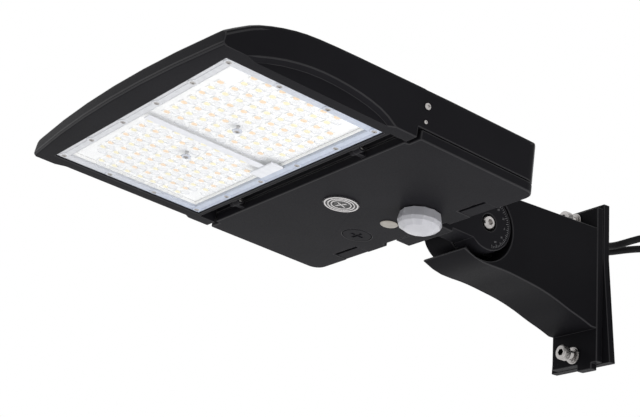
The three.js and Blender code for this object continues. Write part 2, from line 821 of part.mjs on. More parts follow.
function makeWindow() {
  return turned('z', [windowX, windowY, 0], [
    [0, -windowProud - gap], [windowRadius, -windowProud - gap], [windowRadius, -gap], [windowNeck, -gap],
    [windowNeck, windowDepth], [0, windowDepth],
  ]);
}

function makePlug() {
  const body = turned('z', [plugX, plugY, 0], [
    [0, 0], [plugRadius - plugFlange / 2, 0], [plugRadius, plugFlange / 2], [plugRadius, plugFlange],
    [plugThread, plugFlange], [plugThread, plugDepth], [0, plugDepth],
  ]);
  const [long, thin] = [plugCross / 2, plugCrossWidth / 2];
  const slot = (dx, dy) =>
    block([plugX - dx, plugY - dy, -overrun], [plugX + dx, plugY + dy, plugCrossDepth]);
  return cut(body, slot(long, thin), slot(thin, long));
}

// Box of the driver box, hung 0.3 mm under its roof
function roofItem(x0, y0, width, length, height) {
  const top = boxRoofZ - gap;
  return block([x0, y0, top - height], [x0 + width, y0 + length, top]);
}

function makeSideScrew({ side, y, z, head }) {
  const seat = half + gap;
  const tip = half + gap - sideScrewLength;
  return turned('x', [0, y, z], [
    [0, tip], [sideScrewShank, tip], [sideScrewShank, seat],
    ...sideScrewHeadShares.map(([out, proud]) => [out * head, seat + proud * head]),
  ].map(([r, x]) => [r, side * x]), sideScrewSides);
}

// Lower edge of the arm, from its nose to where it meets the flange
function armLower(steps) {
  return smooth(armLowerShares.map(([v, w]) => [v * armReach, w * armTop]), steps);
}

// Arm profile from the pivot: [towards the wall, up]
function armOutline() {
  const lower = armLower(armLowerSteps);
  const seat = armReach - plateThickness - gap;
  const bowEnd = lower[lower.length - 1];
  const topStart = cheekRadius * Math.cos(THREE.MathUtils.degToRad(cheekStartAngle));
  const front = seat - flangeThickness;
  return [
    ...lower, [front, bowEnd[1]], [front, -flangeBottom], [seat, -flangeBottom],
    [seat, flangeTop], [front, flangeTop], [front, armTop], [topStart, armTop],
    ...arc([0, 0], cheekRadius, cheekStartAngle, cheekEndAngle - 360, cheekSteps),
  ];
}

function makeArm() {
  const seat = armReach - plateThickness - gap;
  const outline = armOutline();
  const body = prism('x', outline, -armHalf, armHalf);
  const flange = block([-flangeHalf, seat - flangeThickness, -flangeBottom], [flangeHalf, seat, flangeTop]);
  const lip = block(
    [flangeLipSpan[0], seat - flangeThickness, -flangeBottom - flangeLip],
    [flangeLipSpan[1], seat, -flangeBottom + overrun],
  );
  const barrel = rod('x', [0, 0, 0], hubRadius, -barrelLeft, barrelGap, hubSides);
  const web = block([-barrelLeft, 0, -webHalf], [barrelGap, cheekRadius + armWall, webHalf]);
  const lower = armLower(armHollowSteps)
    .filter(([v]) => v > armHollowFront)
    .map(([v, w]) => [v, w + armWall + armHollowDropShare * armTop]);
  const last = lower[lower.length - 1];
  const hollow = prism('x', [
    [armHollowFront, lower[0][1]], ...lower, [seat + overrun, last[1]],
    [seat + overrun, armTop - armWall], [armHollowFront, armTop - armWall],
  ], -armHalf + armWall, armHalf - armWall);
  const port = block(
    [armWirePortLeft, hubRadius, -armWirePort],
    [armWirePortRight, armHollowFront + overrun, armWirePort],
  );
  const bore = rod('x', [0, 0, 0], pivotHole, -armHalf - overrun, barrelGap + overrun, roundSides);
  const bolts = [upperBoltRise, -lowerBoltDrop].map((w) =>
    rod('y', [0, 0, w], boltHole, seat - flangeThickness - overrun, seat + overrun, roundSides));
  return cut(join(body, flange, lip, barrel, web), hollow, port, bore, ...bolts);
}

function makePlate() {
  const [front, rear] = [armReach - plateThickness, armReach];
  const plate = prism('y', [
    [-plateTopHalf, plateTop], [-plateTopHalf, plateKink], [-plateBottomHalf, -plateBottom],
    [plateBottomHalf, -plateBottom], [plateTopHalf, plateKink], [plateTopHalf, plateTop],
  ], front, rear);
  const holes = [upperBoltRise, -lowerBoltDrop].map((w) =>
    rod('y', [0, 0, w], boltHole, front - overrun, rear + overrun, roundSides));
  const ports = cordPorts.map(([x, z]) =>
    rod('y', [x, 0, z - pivotRise], cordPortHole, front - overrun, rear + overrun, roundSides));
  return cut(plate, ...holes, ...ports);
}

function makeMountBolt(w) {
  const flangeFace = armReach - plateThickness - gap - flangeThickness;
  const under = flangeFace - boltHeadAway + washerThickness;
  const head = under - boltHeadHeight;
  return cut(
    turned('y', [0, 0, w], [
      [0, head], [boltHead, head], [boltHead, under], [boltRadius, under],
      [boltRadius, armReach + boltTail], [0, armReach + boltTail],
    ], roundSides),
    rod('y', [0, 0, w], boltHeadSocket, head - overrun, head + boltHeadHeight / 2, hexSides),
  );
}

function makeWasher(w) {
  const flangeFace = armReach - plateThickness - gap - flangeThickness;
  return ring('y', [0, 0, w], boltHole, washerRadius, flangeFace - gap - washerThickness, flangeFace - gap);
}

function makePivotBolt() {
  const seat = hubFace - pivotRecessDepth + gap;
  const tip = -armHalf - pivotNutHeight - pivotTail;
  return cut(
    turned('x', [0, 0, 0], [
      [0, tip], [pivotShank, tip], [pivotShank, seat], [pivotHead, seat],
      ...pivotHeadShares.map(([out, proud]) => [out * pivotHead, seat + proud * pivotHeadHeight]),
    ]),
    rod('x', [0, 0, 0], pivotSocket, seat + pivotHeadHeight / 2, seat + pivotHeadHeight + overrun, hexSides),
  );
}

function makePivotNut() {
  const face = -armHalf - gap;
  return nut('x', [0, 0, 0], pivotHole, pivotNut, face - pivotNutHeight, face);
}

// Bushing that grips the cord in the wall plate's port and tapers outside it
function makeRelief([x, z]) {
  const root = cordPortHole - gap;
  return turned('y', [x, 0, z], [
    [0, -reliefInside], [root, -reliefInside], [root, reliefStraight],
    [reliefTipRadius, reliefOutside], [0, reliefOutside],
  ]);
}

const tubeOutline = (sides) => new THREE.Shape(
  arc([0, 0], cordDiameter / 2, 0, 360, sides).slice(0, -1).map(([a, b]) => new THREE.Vector2(a, b)),
);

// Coil of the length that the free stretch leaves over
function coilFor(route) {
  const lead = new THREE.CatmullRomCurve3(route.map((p) => new THREE.Vector3(...p)), false, 'centripetal');
  const turns = (cordLength - lead.getLength() - 2 * cordDiameter) / (2 * Math.PI * coilRadius);
  const [x, y, z] = route[route.length - 1];
  const steps = Math.round(turns * coilStepsPerLoop);
  const points = [new THREE.Vector3(x, y, z - gap)];
  for (let i = 0; i <= steps; i += 1) {
    const angle = (turns * i / steps) * 2 * Math.PI;
    points.push(new THREE.Vector3(
      x + coilRadius * (1 - Math.cos(angle)),
      y + coilPitch * turns * i / steps,
      z - gap - cordDiameter - coilRadius * Math.sin(angle),
    ));
  }
  const final = points[points.length - 1];
  const heading = final.clone().sub(points[points.length - 2]).normalize();
  points.push(final.clone().addScaledVector(heading, cordDiameter));
  return { lead, turns, points };
}

// Skin round a row of points, with a flat cap at each end
function tubeThrough(points, radius, sides) {
  const rings = [];
  const across = new THREE.Vector3(0, 1, 0);
  points.forEach((point, i) => {
    const before = points[Math.max(i - 1, 0)];
    const after = points[Math.min(i + 1, points.length - 1)];
    const along = after.clone().sub(before).normalize();
    const side = across.clone().addScaledVector(along, -across.dot(along)).normalize();
    const up = along.clone().cross(side);
    rings.push(Array.from({ length: sides }, (_, k) => {
      const angle = (2 * Math.PI * k) / sides;
      return point.clone()
        .addScaledVector(side, radius * Math.cos(angle))
        .addScaledVector(up, radius * Math.sin(angle));
    }));
  });
  const index = [];
  for (let s = 0; s < rings.length - 1; s += 1) {
    for (let k = 0; k < sides; k += 1) {
      const next = (k + 1) % sides;
      const [a, b] = [s * sides + k, s * sides + next];
      index.push(a, b, b + sides, a, b + sides, a + sides);
    }
  }
  const last = (rings.length - 1) * sides;
  for (let k = 1; k < sides - 1; k += 1) {
    index.push(0, k + 1, k);
    index.push(last, last + k, last + k + 1);
  }
  const geometry = new THREE.BufferGeometry();
  geometry.setAttribute('position', new THREE.BufferAttribute(
    new Float32Array(rings.flat().flatMap((p) => p.toArray())),
    3,
  ));
  geometry.setIndex(index);
  return tidy(geometry);
}

// Least gap between turns of a coil, on its points
function leastCoilGap(points) {
  let least = Infinity;
  for (let i = 0; i < points.length; i += 1) {
    for (let j = i + Math.round(coilStepsPerLoop / 2); j < points.length; j += 1) {
      least = Math.min(least, points[i].distanceTo(points[j]) - cordDiameter);
    }
  }
  return least;
}

function makeFreeCord(lead) {
  const settings = { steps: cordSteps, bevelEnabled: false, extrudePath: lead };
  return new THREE.ExtrudeGeometry(tubeOutline(cordSides), settings);
}

// Strap round the turns of a coil at its lowest point
function makeTie(points, turns) {
  const low = points.reduce((a, b) => (b.z < a.z ? b : a)).z;
  const centreX = points[0].x + coilRadius;
  const y0 = points[0].y - cordDiameter / 2 - gap;
  const y1 = points[0].y + coilPitch * turns + cordDiameter / 2 + gap;
  const [z0, z1] = [low - cordDiameter / 2 - gap, low + cordDiameter / 2 + 4 * gap];
  const outer = block(
    [centreX - tieWidth / 2, y0 - tieThickness, z0 - tieThickness],
    [centreX + tieWidth / 2, y1 + tieThickness, z1 + tieThickness],
  );
  return cut(outer, block([centreX - tieWidth, y0, z0], [centreX + tieWidth, y1, z1]));
}

// Finishes
const black = { color: 0x242428, roughness: 0.55, metalness: 0.2 };
const steel = { color: 0xb8babd, roughness: 0.3, metalness: 0.9 };
const clear = { color: 0xe4e9f0, roughness: 0.15, metalness: 0 };
const milky = { color: 0xd8d8d6, roughness: 0.4, metalness: 0 };
const rubber = { color: 0x18181a, roughness: 0.85, metalness: 0 };
const board = { color: 0xf2f2ee, roughness: 0.5, metalness: 0 };
const beige = { color: 0xb9b09a, roughness: 0.4, metalness: 0 };
const zinc = { color: 0x9da0a4, roughness: 0.45, metalness: 0.8 };

function place(group, name, shape, finish) {
  const geometry = shape.isBufferGeometry ? tidy(shape) : geometryOf(shape);
  geometry.computeVertexNormals();
  const mesh = new THREE.Mesh(geometry, new THREE.MeshStandardMaterial(finish));
  mesh.name = name;
  group.add(mesh);
}

const light = new THREE.Group();

const arm = new THREE.Group();
arm.position.set(0, pivotY, pivotRise);
light.add(arm);

const tilt = new THREE.Group();
tilt.position.copy(arm.position);
tilt.rotation.x = -THREE.MathUtils.degToRad(restTilt);
light.add(tilt);

const head = new THREE.Group();
head.position.set(0, -hubY, -hubZ);
tilt.add(head);

place(head, 'housing', makeHousing(), black);
place(head, 'lens_panel', makeLens(), clear);
place(head, 'lens_gasket', makeLensGasket(), rubber);
place(head, 'led_board_left', makeBoard(-1), board);
place(head, 'led_board_right', makeBoard(1), board);
screwPlaces.forEach((spot, i) => {
  place(head, `lens_screw_${String(i + 1).padStart(2, '0')}`, makeLensScrew(spot), steel);
});
place(head, 'driver_cover', makeCover(), black);
place(head, 'cover_seal', makeCoverSeal(), rubber);
['left', 'right'].forEach((name, i) => {
  place(head, `hinge_pin_${name}`, makeHingePin(hingeX[i]), steel);
  place(head, `cover_catch_${name}`, makeCatch(catchX[i]), black);
});
place(head, 'sensor_body', makeSensorBody(), zinc);
place(head, 'sensor_dome', makeDome(), milky);
place(head, 'sensor_locknut', makeSensorNut(), black);
place(head, 'light_sensor_window', makeWindow(), beige);
place(head, 'selector_switch', makeSelector(), black);
place(head, 'selector_dial', makeDial(), milky);
place(head, 'selector_cap', makeSelectorCap(), clear);
place(head, 'blanking_plug', makePlug(), black);

const boxFront = slotRear + wall + driverEnd;
const boxLeft = -half + wall + driverEnd;
const driverLength = headLength - catchLength - driverRearGap - boxFront;
place(head, 'led_driver', roofItem(boxLeft, boxFront, driverWidth, driverLength, driverHeight), zinc);
const surgeX = half - wall - driverEnd - surgeWidth;
place(head, 'surge_protector', roofItem(surgeX, boxFront, surgeWidth, surgeLength, surgeHeight), black);
place(head, 'terminal_block', roofItem(
  half - wall - driverEnd - terminalWidth, boxFront + surgeLength + boxItemGap,
  terminalWidth, terminalLength, terminalHeight,
), milky);
sideScrewPlaces().forEach((spot, i) => {
  const name = `side_screw_${spot.side < 0 ? 'left' : 'right'}_${i % 2 ? 'small' : 'large'}`;
  place(head, name, makeSideScrew(spot), steel);
});

place(arm, 'arm', makeArm(), black);
place(arm, 'wall_plate', makePlate(), black);
place(arm, 'pivot_bolt', makePivotBolt(), steel);
place(arm, 'pivot_nut', makePivotNut(), steel);
[['upper', upperBoltRise], ['lower', -lowerBoltDrop]].forEach(([name, w]) => {
  place(arm, `mount_bolt_${name}`, makeMountBolt(w), steel);
  place(arm, `mount_washer_${name}`, makeWasher(w), steel);
});

[['supply', supplyRoute], ['dimming', dimmingRoute]].forEach(([name, route], i) => {
  const { lead, turns, points } = coilFor(route);
  console.log(`${name} coil: ${turns.toFixed(2)} turns, least gap ${leastCoilGap(points).toFixed(2)} mm`);
  place(light, `${name}_relief`, makeRelief(cordPorts[i]), rubber);
  place(light, `${name}_cord`, makeFreeCord(lead), rubber);
  place(light, `${name}_coil`, tubeThrough(points, cordDiameter / 2, coilSides), rubber);
  place(light, `${name}_tie`, makeTie(points, turns), rubber);
});

export default light;
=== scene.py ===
import json
import math

import bmesh
import bpy
from mathutils import Matrix, Quaternion, Vector
from mathutils.geometry import delaunay_2d_cdt


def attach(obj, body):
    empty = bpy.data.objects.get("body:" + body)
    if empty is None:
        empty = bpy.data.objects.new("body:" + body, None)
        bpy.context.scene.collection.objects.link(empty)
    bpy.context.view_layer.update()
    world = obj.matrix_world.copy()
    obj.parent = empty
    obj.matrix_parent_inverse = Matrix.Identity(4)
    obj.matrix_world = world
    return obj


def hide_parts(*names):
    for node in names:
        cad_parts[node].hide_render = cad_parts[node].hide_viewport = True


# Shoebox area light on its wall arm. Lengths are in metres, X across, -Y out from the wall, Z up.
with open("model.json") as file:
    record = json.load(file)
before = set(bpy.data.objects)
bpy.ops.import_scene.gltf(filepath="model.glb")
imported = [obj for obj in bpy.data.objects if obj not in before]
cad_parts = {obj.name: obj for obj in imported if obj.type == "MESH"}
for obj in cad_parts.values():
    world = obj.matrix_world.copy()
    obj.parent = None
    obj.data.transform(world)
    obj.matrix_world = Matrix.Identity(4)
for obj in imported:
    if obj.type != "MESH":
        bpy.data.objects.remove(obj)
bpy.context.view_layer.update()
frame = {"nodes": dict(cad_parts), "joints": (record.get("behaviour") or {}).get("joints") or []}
MM = 0.001


# Camera, at the photograph's place
CAMERA_PLACE = Vector((0.9669, -0.9996, -0.4321))
CAMERA_AZIMUTH = math.radians(54.928)
CAMERA_ELEVATION = math.radians(-19.960)
CAMERA_ROLL = math.radians(4.483)
CAMERA_LENS = 83.47
CAMERA_SENSOR = 36.0
CAMERA_FAR = 50


def make_camera():
    level = math.cos(CAMERA_ELEVATION)
    back = Vector((
        math.sin(CAMERA_AZIMUTH) * level,
        -math.cos(CAMERA_AZIMUTH) * level,
        math.sin(CAMERA_ELEVATION),
    ))
    data = bpy.data.cameras.new("camera")
    data.lens = CAMERA_LENS
    data.sensor_width = CAMERA_SENSOR
    data.clip_end = CAMERA_FAR
    camera = bpy.data.objects.new("camera", data)
    bpy.context.scene.collection.objects.link(camera)
    camera.rotation_mode = "QUATERNION"
    camera.rotation_quaternion = (-back).to_track_quat("-Z", "Y") @ Quaternion((0, 0, 1), CAMERA_ROLL)
    camera.location = CAMERA_PLACE
    bpy.context.scene.camera = camera


make_camera()


# Cords: the supply lead and the dimming lead, each with its spare length in a hanging coil
CORD_DIAMETER = 7 * MM
CORD_LENGTH = 1.0
COIL_RADIUS = 38.5 * MM
COIL_PITCH = 7.6 * MM
COIL_STEPS = 24
CORD_GAP = 0.3 * MM
CORD_CURVE_STEPS = 4
CORD_ROUND_STEPS = 5
SUPPLY_ROUTE = [
    (0.007, 0.0144, 0.0496), (0.007, 0.0174, 0.0497), (0.0074, 0.021, 0.0504), (0.0094, 0.0282, 0.0524),
    (0.0142, 0.0359, 0.0557), (0.0207, 0.042, 0.0586), (0.0273, 0.0465, 0.0604), (0.0343, 0.0507, 0.061),
    (0.0406, 0.0538, 0.0595), (0.0462, 0.0559, 0.0559), (0.0509, 0.0571, 0.0506), (0.0546, 0.0578, 0.044),
    (0.0574, 0.058, 0.0362), (0.0595, 0.058, 0.0284), (0.0599, 0.058, 0.0228), (0.06, 0.058, 0.017),
]
DIMMING_ROUTE = [
    (-0.009, 0.0144, 0.0468), (-0.009, 0.0174, 0.0469), (-0.0088, 0.0204, 0.0473), (-0.0077, 0.0262, 0.0484),
    (-0.0053, 0.0326, 0.05), (-0.0016, 0.0389, 0.0515), (0.0032, 0.0452, 0.0531), (0.0086, 0.052, 0.0546),
    (0.0164, 0.0616, 0.056), (0.025, 0.0709, 0.056), (0.0336, 0.0787, 0.0543), (0.0418, 0.0854, 0.0511),
    (0.049, 0.0908, 0.0461), (0.0546, 0.0947, 0.0393), (0.0583, 0.0972, 0.0312), (0.0598, 0.098, 0.0234),
    (0.06, 0.098, 0.017),
]


def length_of(points):
    return sum((b - a).length for a, b in zip(points, points[1:]))


def coil_points(route):
    """The turns below the route's last point."""
    free = length_of([Vector(p) for p in route])
    turns = (CORD_LENGTH - free - 2 * CORD_DIAMETER) / (2 * math.pi * COIL_RADIUS)
    top = Vector(route[-1]) - Vector((0, 0, CORD_GAP + CORD_DIAMETER))
    steps = round(turns * COIL_STEPS)
    points = []
    for i in range(steps + 1):
        angle = 2 * math.pi * turns * i / steps
        points.append(top + Vector((
            COIL_RADIUS * (1 - math.cos(angle)),
            COIL_PITCH * turns * i / steps,
            -COIL_RADIUS * math.sin(angle),
        )))
    points.append(points[-1] + (points[-1] - points[-2]).normalized() * CORD_DIAMETER)
    return points


def tube_curve(name, points, radius, curve_steps, round_steps):
    """A smooth round tube through a row of points, each of which carries the tube's radius."""
    data = bpy.data.curves.new(name, "CURVE")
    data.dimensions = "3D"
    spline = data.splines.new("BEZIER")
    spline.bezier_points.add(len(points) - 1)
    for knot, point in zip(spline.bezier_points, points):
        knot.co = point
        knot.handle_left_type = knot.handle_right_type = "AUTO"
        knot.radius = radius
    data.resolution_u = data.render_resolution_u = curve_steps
    data.bevel_depth = 1
    data.bevel_resolution = round_steps
    data.use_fill_caps = True
    tube = bpy.data.objects.new(name, data)
    bpy.context.scene.collection.objects.link(tube)
    return tube


cords = {}
for cord_name, cord_route in (("supply", SUPPLY_ROUTE), ("dimming", DIMMING_ROUTE)):
    cord_points = [Vector(p) for p in cord_route] + coil_points(cord_route)
    cord = tube_curve(
        f"{cord_name}_cord_jacket", cord_points, CORD_DIAMETER / 2, CORD_CURVE_STEPS, CORD_ROUND_STEPS,
    )
    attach(cord, "arm")
    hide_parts(f"{cord_name}_cord", f"{cord_name}_coil")
    cords[cord_name] = (cord, cord_points)


# Places of the head and the arm: each casting is drawn square in its own place, then set down
PIVOT = Vector(next(j for j in frame["joints"] if j["name"] == "head_tilt")["pos_m"])
REST_TILT = math.radians(5)
HUB_IN_HEAD = Vector((0, 360.3, 23.613)) * MM
HEAD = Matrix.Translation(PIVOT) @ Matrix.Rotation(-REST_TILT, 4, "X") @ Matrix.Translation(-HUB_IN_HEAD)
ARM = Matrix.Translation(PIVOT)
WALL = Matrix.Identity(4)


def drawn_box(node, place):
    """Lowest and highest corner of a CAD node, in the square place of its casting."""
    square = place.inverted()
    points = [square @ v.co for v in frame["nodes"][node].data.vertices]
    low = Vector([min(p[i] for p in points) for i in range(3)])
    high = Vector([max(p[i] for p in points) for i in range(3)])
    return low, high


def pick_up(obj):
    """Selects one object and nothing else."""
    if bpy.context.object and bpy.context.object.mode != "OBJECT":
        bpy.ops.object.mode_set(mode="OBJECT")
    bpy.ops.object.select_all(action="DESELECT")
    obj.select_set(True)
    bpy.context.view_layer.objects.active = obj


def edit(obj, kind="FACE"):
    pick_up(obj)
    bpy.ops.object.mode_set(mode="EDIT")
    bpy.ops.mesh.select_mode(type=kind)


def done():
    bpy.ops.object.mode_set(mode="OBJECT")


def choose_faces(obj, test):
    """Opens obj for editing with only the faces selected that pass the test."""
    pick_up(obj)
    mesh = obj.data
    mesh.vertices.foreach_set("select", [False] * len(mesh.vertices))
    mesh.edges.foreach_set("select", [False] * len(mesh.edges))
    mesh.polygons.foreach_set("select", [bool(test(p)) for p in mesh.polygons])
    bpy.context.tool_settings.mesh_select_mode = (False, False, True)
    bpy.ops.object.mode_set(mode="EDIT")


def inset_faces(obj, test, *steps, opened=False, **settings):
    """Insets the chosen faces, each time by a width and a height, and then takes them away if opened."""
    choose_faces(obj, test)
    for width, height in steps:
        bpy.ops.mesh.inset(thickness=width, depth=height, **settings)
    if opened:
        bpy.ops.mesh.delete(type="FACE")
    done()


# The least part of a face's normal that points the way it is said to look
FACING = 0.9


def looks_down(face):
    return face.normal.z < -FACING


def looks_up(face):
    return face.normal.z > FACING


def looks_up_at(height):
    """The test for upward faces that lie no lower than the height."""
    return lambda face: looks_up(face) and face.center.z > height - 0.01 * MM


def mm(*points):
    """Points written in millimetres, brought to metres."""
    return [tuple(c * MM for c in point) for point in points]


def rod(radius, low, high):
    """The profile of a plain rod."""
    return [(0, low), (radius, low), (radius, high), (0, high)]


def tube(inner, outer, low, high):
    """The profile of a plain tube or a ring."""
    return [(inner, low), (outer, low), (outer, high), (inner, high), (inner, low)]


def plan_middle(low, high):
    """The middle of a box seen from below, at the height of the underside."""
    return Vector(((low.x + high.x) / 2, (low.y + high.y) / 2, 0))


def border(low, high, inset):
    """Corners of a rectangle drawn in by an inset."""
    x0, y0, x1, y1 = low.x + inset, low.y + inset, high.x - inset, high.y - inset
    return [(x0, y0), (x1, y0), (x1, y1), (x0, y1)]


def heal(obj, merge=0.002 * MM):
    edit(obj, "VERT")
    bpy.ops.mesh.select_all(action="SELECT")
    bpy.ops.mesh.remove_doubles(threshold=merge)
    bpy.ops.mesh.delete_loose(use_verts=True, use_edges=True, use_faces=False)
    bpy.ops.mesh.select_all(action="SELECT")
    bpy.ops.mesh.normals_make_consistent(inside=False)
    done()


def apply_modifier(obj, kind, **settings):
    pick_up(obj)
    modifier = obj.modifiers.new(kind.lower(), kind)
    for key, value in settings.items():
        setattr(modifier, key, value)
    bpy.ops.object.modifier_apply(modifier=modifier.name)


def shade(obj, angle=30):
    pick_up(obj)
    bpy.ops.object.shade_smooth_by_angle(angle=math.radians(angle))
    apply_modifier(obj, "WEIGHTED_NORMAL", keep_sharp=True)


def block(low, high):
    low, high = Vector(low), Vector(high)
    bpy.ops.object.select_all(action="DESELECT")
    bpy.ops.mesh.primitive_cube_add(size=1, location=(low + high) / 2, scale=high - low)
    bpy.ops.object.transform_apply(location=True, rotation=True, scale=True)
    return bpy.context.object


def chain(points, closed=False):
    """A row of edges through the points, drawn by extruding one vertex, and filled if it is closed."""
    bpy.ops.object.select_all(action="DESELECT")
    bpy.ops.mesh.primitive_plane_add(size=MM, location=(0, 0, 0))
    obj = bpy.context.object
    edit(obj, "VERT")
    bpy.ops.mesh.select_all(action="SELECT")
    bpy.ops.mesh.merge(type="CENTER")
    bpy.ops.transform.translate(value=points[0])
    for a, b in zip(points, points[1:]):
        bpy.ops.mesh.extrude_vertices_move(TRANSFORM_OT_translate={"value": Vector(b) - Vector(a)})
    if closed:
        bpy.ops.mesh.select_all(action="SELECT")
        bpy.ops.mesh.edge_face_add()
    done()
    return obj


AXES = {"x": Vector((1, 0, 0)), "y": Vector((0, 1, 0)), "z": Vector((0, 0, 1))}
SIDEWAYS = {"x": Vector((0, 0, 1)), "y": Vector((1, 0, 0)), "z": Vector((1, 0, 0))}


def turned(profile, axis="z", centre=(0, 0, 0), sides=32):
    """A piece turned about an axis through centre, from pairs of radius and height."""
    along, out, centre = AXES[axis], SIDEWAYS[axis], Vector(centre)
    obj = chain([centre + out * r + along * h for r, h in profile])
    edit(obj, "VERT")
    bpy.ops.mesh.select_all(action="SELECT")
    bpy.ops.mesh.spin(steps=sides, angle=2 * math.pi, center=centre, axis=along)
    done()
    heal(obj)
    return obj


def prism(points, depth):
    """An outline, pushed along the vector depth."""
    obj = chain(points, closed=True)
    edit(obj)
    bpy.ops.mesh.select_all(action="SELECT")
    bpy.ops.mesh.extrude_region_move(TRANSFORM_OT_translate={"value": depth})
    done()
    heal(obj)
    return obj


def round_edges(obj, width, segments=2, sharp=30):
    apply_modifier(
        obj, "BEVEL", width=width, segments=segments, limit_method="ANGLE",
        angle_limit=math.radians(sharp), use_clamp_overlap=True, loop_slide=False,
    )


def cut_out(obj, tool):
    apply_modifier(obj, "BOOLEAN", object=tool, operation="DIFFERENCE", solver="EXACT")
    bpy.data.objects.remove(tool)


def join(*pieces):
    pick_up(pieces[0])
    for piece in pieces[1:]:
        piece.select_set(True)
    bpy.ops.object.join()
    return pieces[0]


def copy_at(obj, offset):
    """A copy with its own mesh, moved by offset."""
    twin = obj.copy()
    twin.data = obj.data.copy()
    bpy.context.scene.collection.objects.link(twin)
    twin.data.transform(Matrix.Translation(offset))
    return twin


def repeat(obj, offsets):
    """The same piece at each offset, joined into one."""
    twins = [copy_at(obj, Vector(offset)) for offset in offsets]
    bpy.data.objects.remove(obj)
    return join(*twins)


def set_down(obj, name, place, body, material, replaces=(), smooth=30, edge_material=None):
    """Names a finished piece, puts its place in its mesh, and hangs it on its body."""
    obj.name = obj.data.name = name
    obj.data.transform(place)
    if smooth:
        shade(obj, smooth)
    edges = [edge_material] if edge_material else []
    indices = [min(p.material_index, len(edges)) for p in obj.data.polygons]
    obj.data.materials.clear()
    for layer in (material, *edges):
        obj.data.materials.append(layer)
    obj.data.polygons.foreach_set("material_index", indices)
    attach(obj, body)
    if replaces:
        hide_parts(*replaces)
    return obj


# Castings, taken over from the CAD nodes with their edges rounded
FLAT_ANGLE = math.radians(0.4)
FLAT_COSINE = math.cos(FLAT_ANGLE)
SHARP_ANGLE = math.radians(24)
# The rounding's widest share of the shortest edge beside it, and its share of the full width in a hollow
ROOM_SHARE = 0.42
HOLLOW_SHARE = 0.3
SEAM_MERGE = 0.02 * MM
FOLD_AREA = 0.2 * MM ** 2
FILL_MERGE = 0.0001 * MM
GAP_SIDES = 8


def casting_copy(node, place):
    """The node's mesh in its casting's square place, with its flat faces made whole."""
    bpy.ops.object.select_all(action="DESELECT")
    bpy.ops.mesh.primitive_cube_add(size=MM)
    obj = bpy.context.object
    obj.data = frame["nodes"][node].data.copy()
    obj.data.transform(place.inverted())
    obj.data.materials.clear()
    for _ in ("faces", "rounded edges"):
        obj.data.materials.append(None)
    edit(obj, "VERT")
    bpy.ops.mesh.customdata_custom_splitnormals_clear()
    bpy.ops.mesh.select_all(action="SELECT")
    bpy.ops.mesh.remove_doubles(threshold=SEAM_MERGE)
    bpy.ops.mesh.dissolve_limited(angle_limit=FLAT_ANGLE)
    bpy.ops.mesh.normals_make_consistent(inside=False)
    done()
    return obj


def flat_region(seed):
    """The faces that lie in one plane with the first and join on to it."""
    region, waiting = {seed}, [seed]
    while waiting:
        face = waiting.pop()
        for e in face.edges:
            for other in e.link_faces:
                if other not in region and other.normal.dot(seed.normal) > FLAT_COSINE:
                    region.add(other)
                    waiting.append(other)
    return region


def windings(spot, rim):
    """How often the rim, a list of directed edges, winds round the spot."""
    turns = 0
    for a, b in rim:
        side = (b - a).cross(spot - a)
        if a.y <= spot.y < b.y and side > 0:
            turns += 1
        elif b.y <= spot.y < a.y and side < 0:
            turns -= 1
    return turns


def folded_faces(mesh):
    """The faces whose triangles cover more than the face does."""
    filled = {}
    for loops in mesh.calc_loop_triangles():
        a, b, c = [loop.vert.co for loop in loops]
        face = loops[0].face
        filled[face] = filled.get(face, 0) + (b - a).cross(c - a).length / 2
    return [face for face, area in filled.items() if area > face.calc_area() + FOLD_AREA]


def refill_flats(obj):
    """Fills each flat area that folds over itself anew, from its outline and its holes."""
    mesh = bmesh.new()
    mesh.from_mesh(obj.data)
    used = set()
    for seed in folded_faces(mesh):
        if seed in used:
            continue
        region = flat_region(seed)
        used |= region
        normal = sum((f.normal * f.calc_area() for f in region), Vector()).normalized()
        across = normal.orthogonal().normalized()
        up = normal.cross(across)
        rim = [
            (loop.vert, loop.link_loop_next.vert) for f in region for loop in f.loops
            if sum(other in region for other in loop.edge.link_faces) == 1
        ]
        corners = list(dict.fromkeys(v for pair in rim for v in pair))
        number = {v: i for i, v in enumerate(corners)}
        flat = [Vector((v.co.dot(across), v.co.dot(up))) for v in corners]
        edges = [(number[a], number[b]) for a, b in rim]
        spots, _, triangles, from_corner, _, _ = delaunay_2d_cdt(flat, edges, [], 0, FILL_MERGE)
        flat_rim = [(flat[a], flat[b]) for a, b in edges]
        bmesh.ops.delete(mesh, geom=list(region), context="FACES_KEEP_BOUNDARY")
        nearest = [
            own[0] if own else min(range(len(flat)), key=lambda i: (flat[i] - spot).length)
            for spot, own in zip(spots, from_corner)
        ]
        for triangle in triangles:
            middle = sum((spots[i] for i in triangle), Vector((0, 0))) / 3
            turns = windings(middle, flat_rim)
            ring = [corners[nearest[i]] for i in triangle][::1 if turns > 0 else -1]
            if turns and len(set(ring)) == 3 and not mesh.faces.get(ring):
                mesh.faces.new(ring)
    loose = [v for v in mesh.verts if not v.link_faces]
    bmesh.ops.delete(mesh, geom=loose, context="VERTS")
    gaps = [e for e in mesh.edges if len(e.link_faces) == 1]
    bmesh.ops.holes_fill(mesh, edges=gaps, sides=GAP_SIDES)
    mesh.normal_update()
    mesh.to_mesh(obj.data)
    mesh.free()


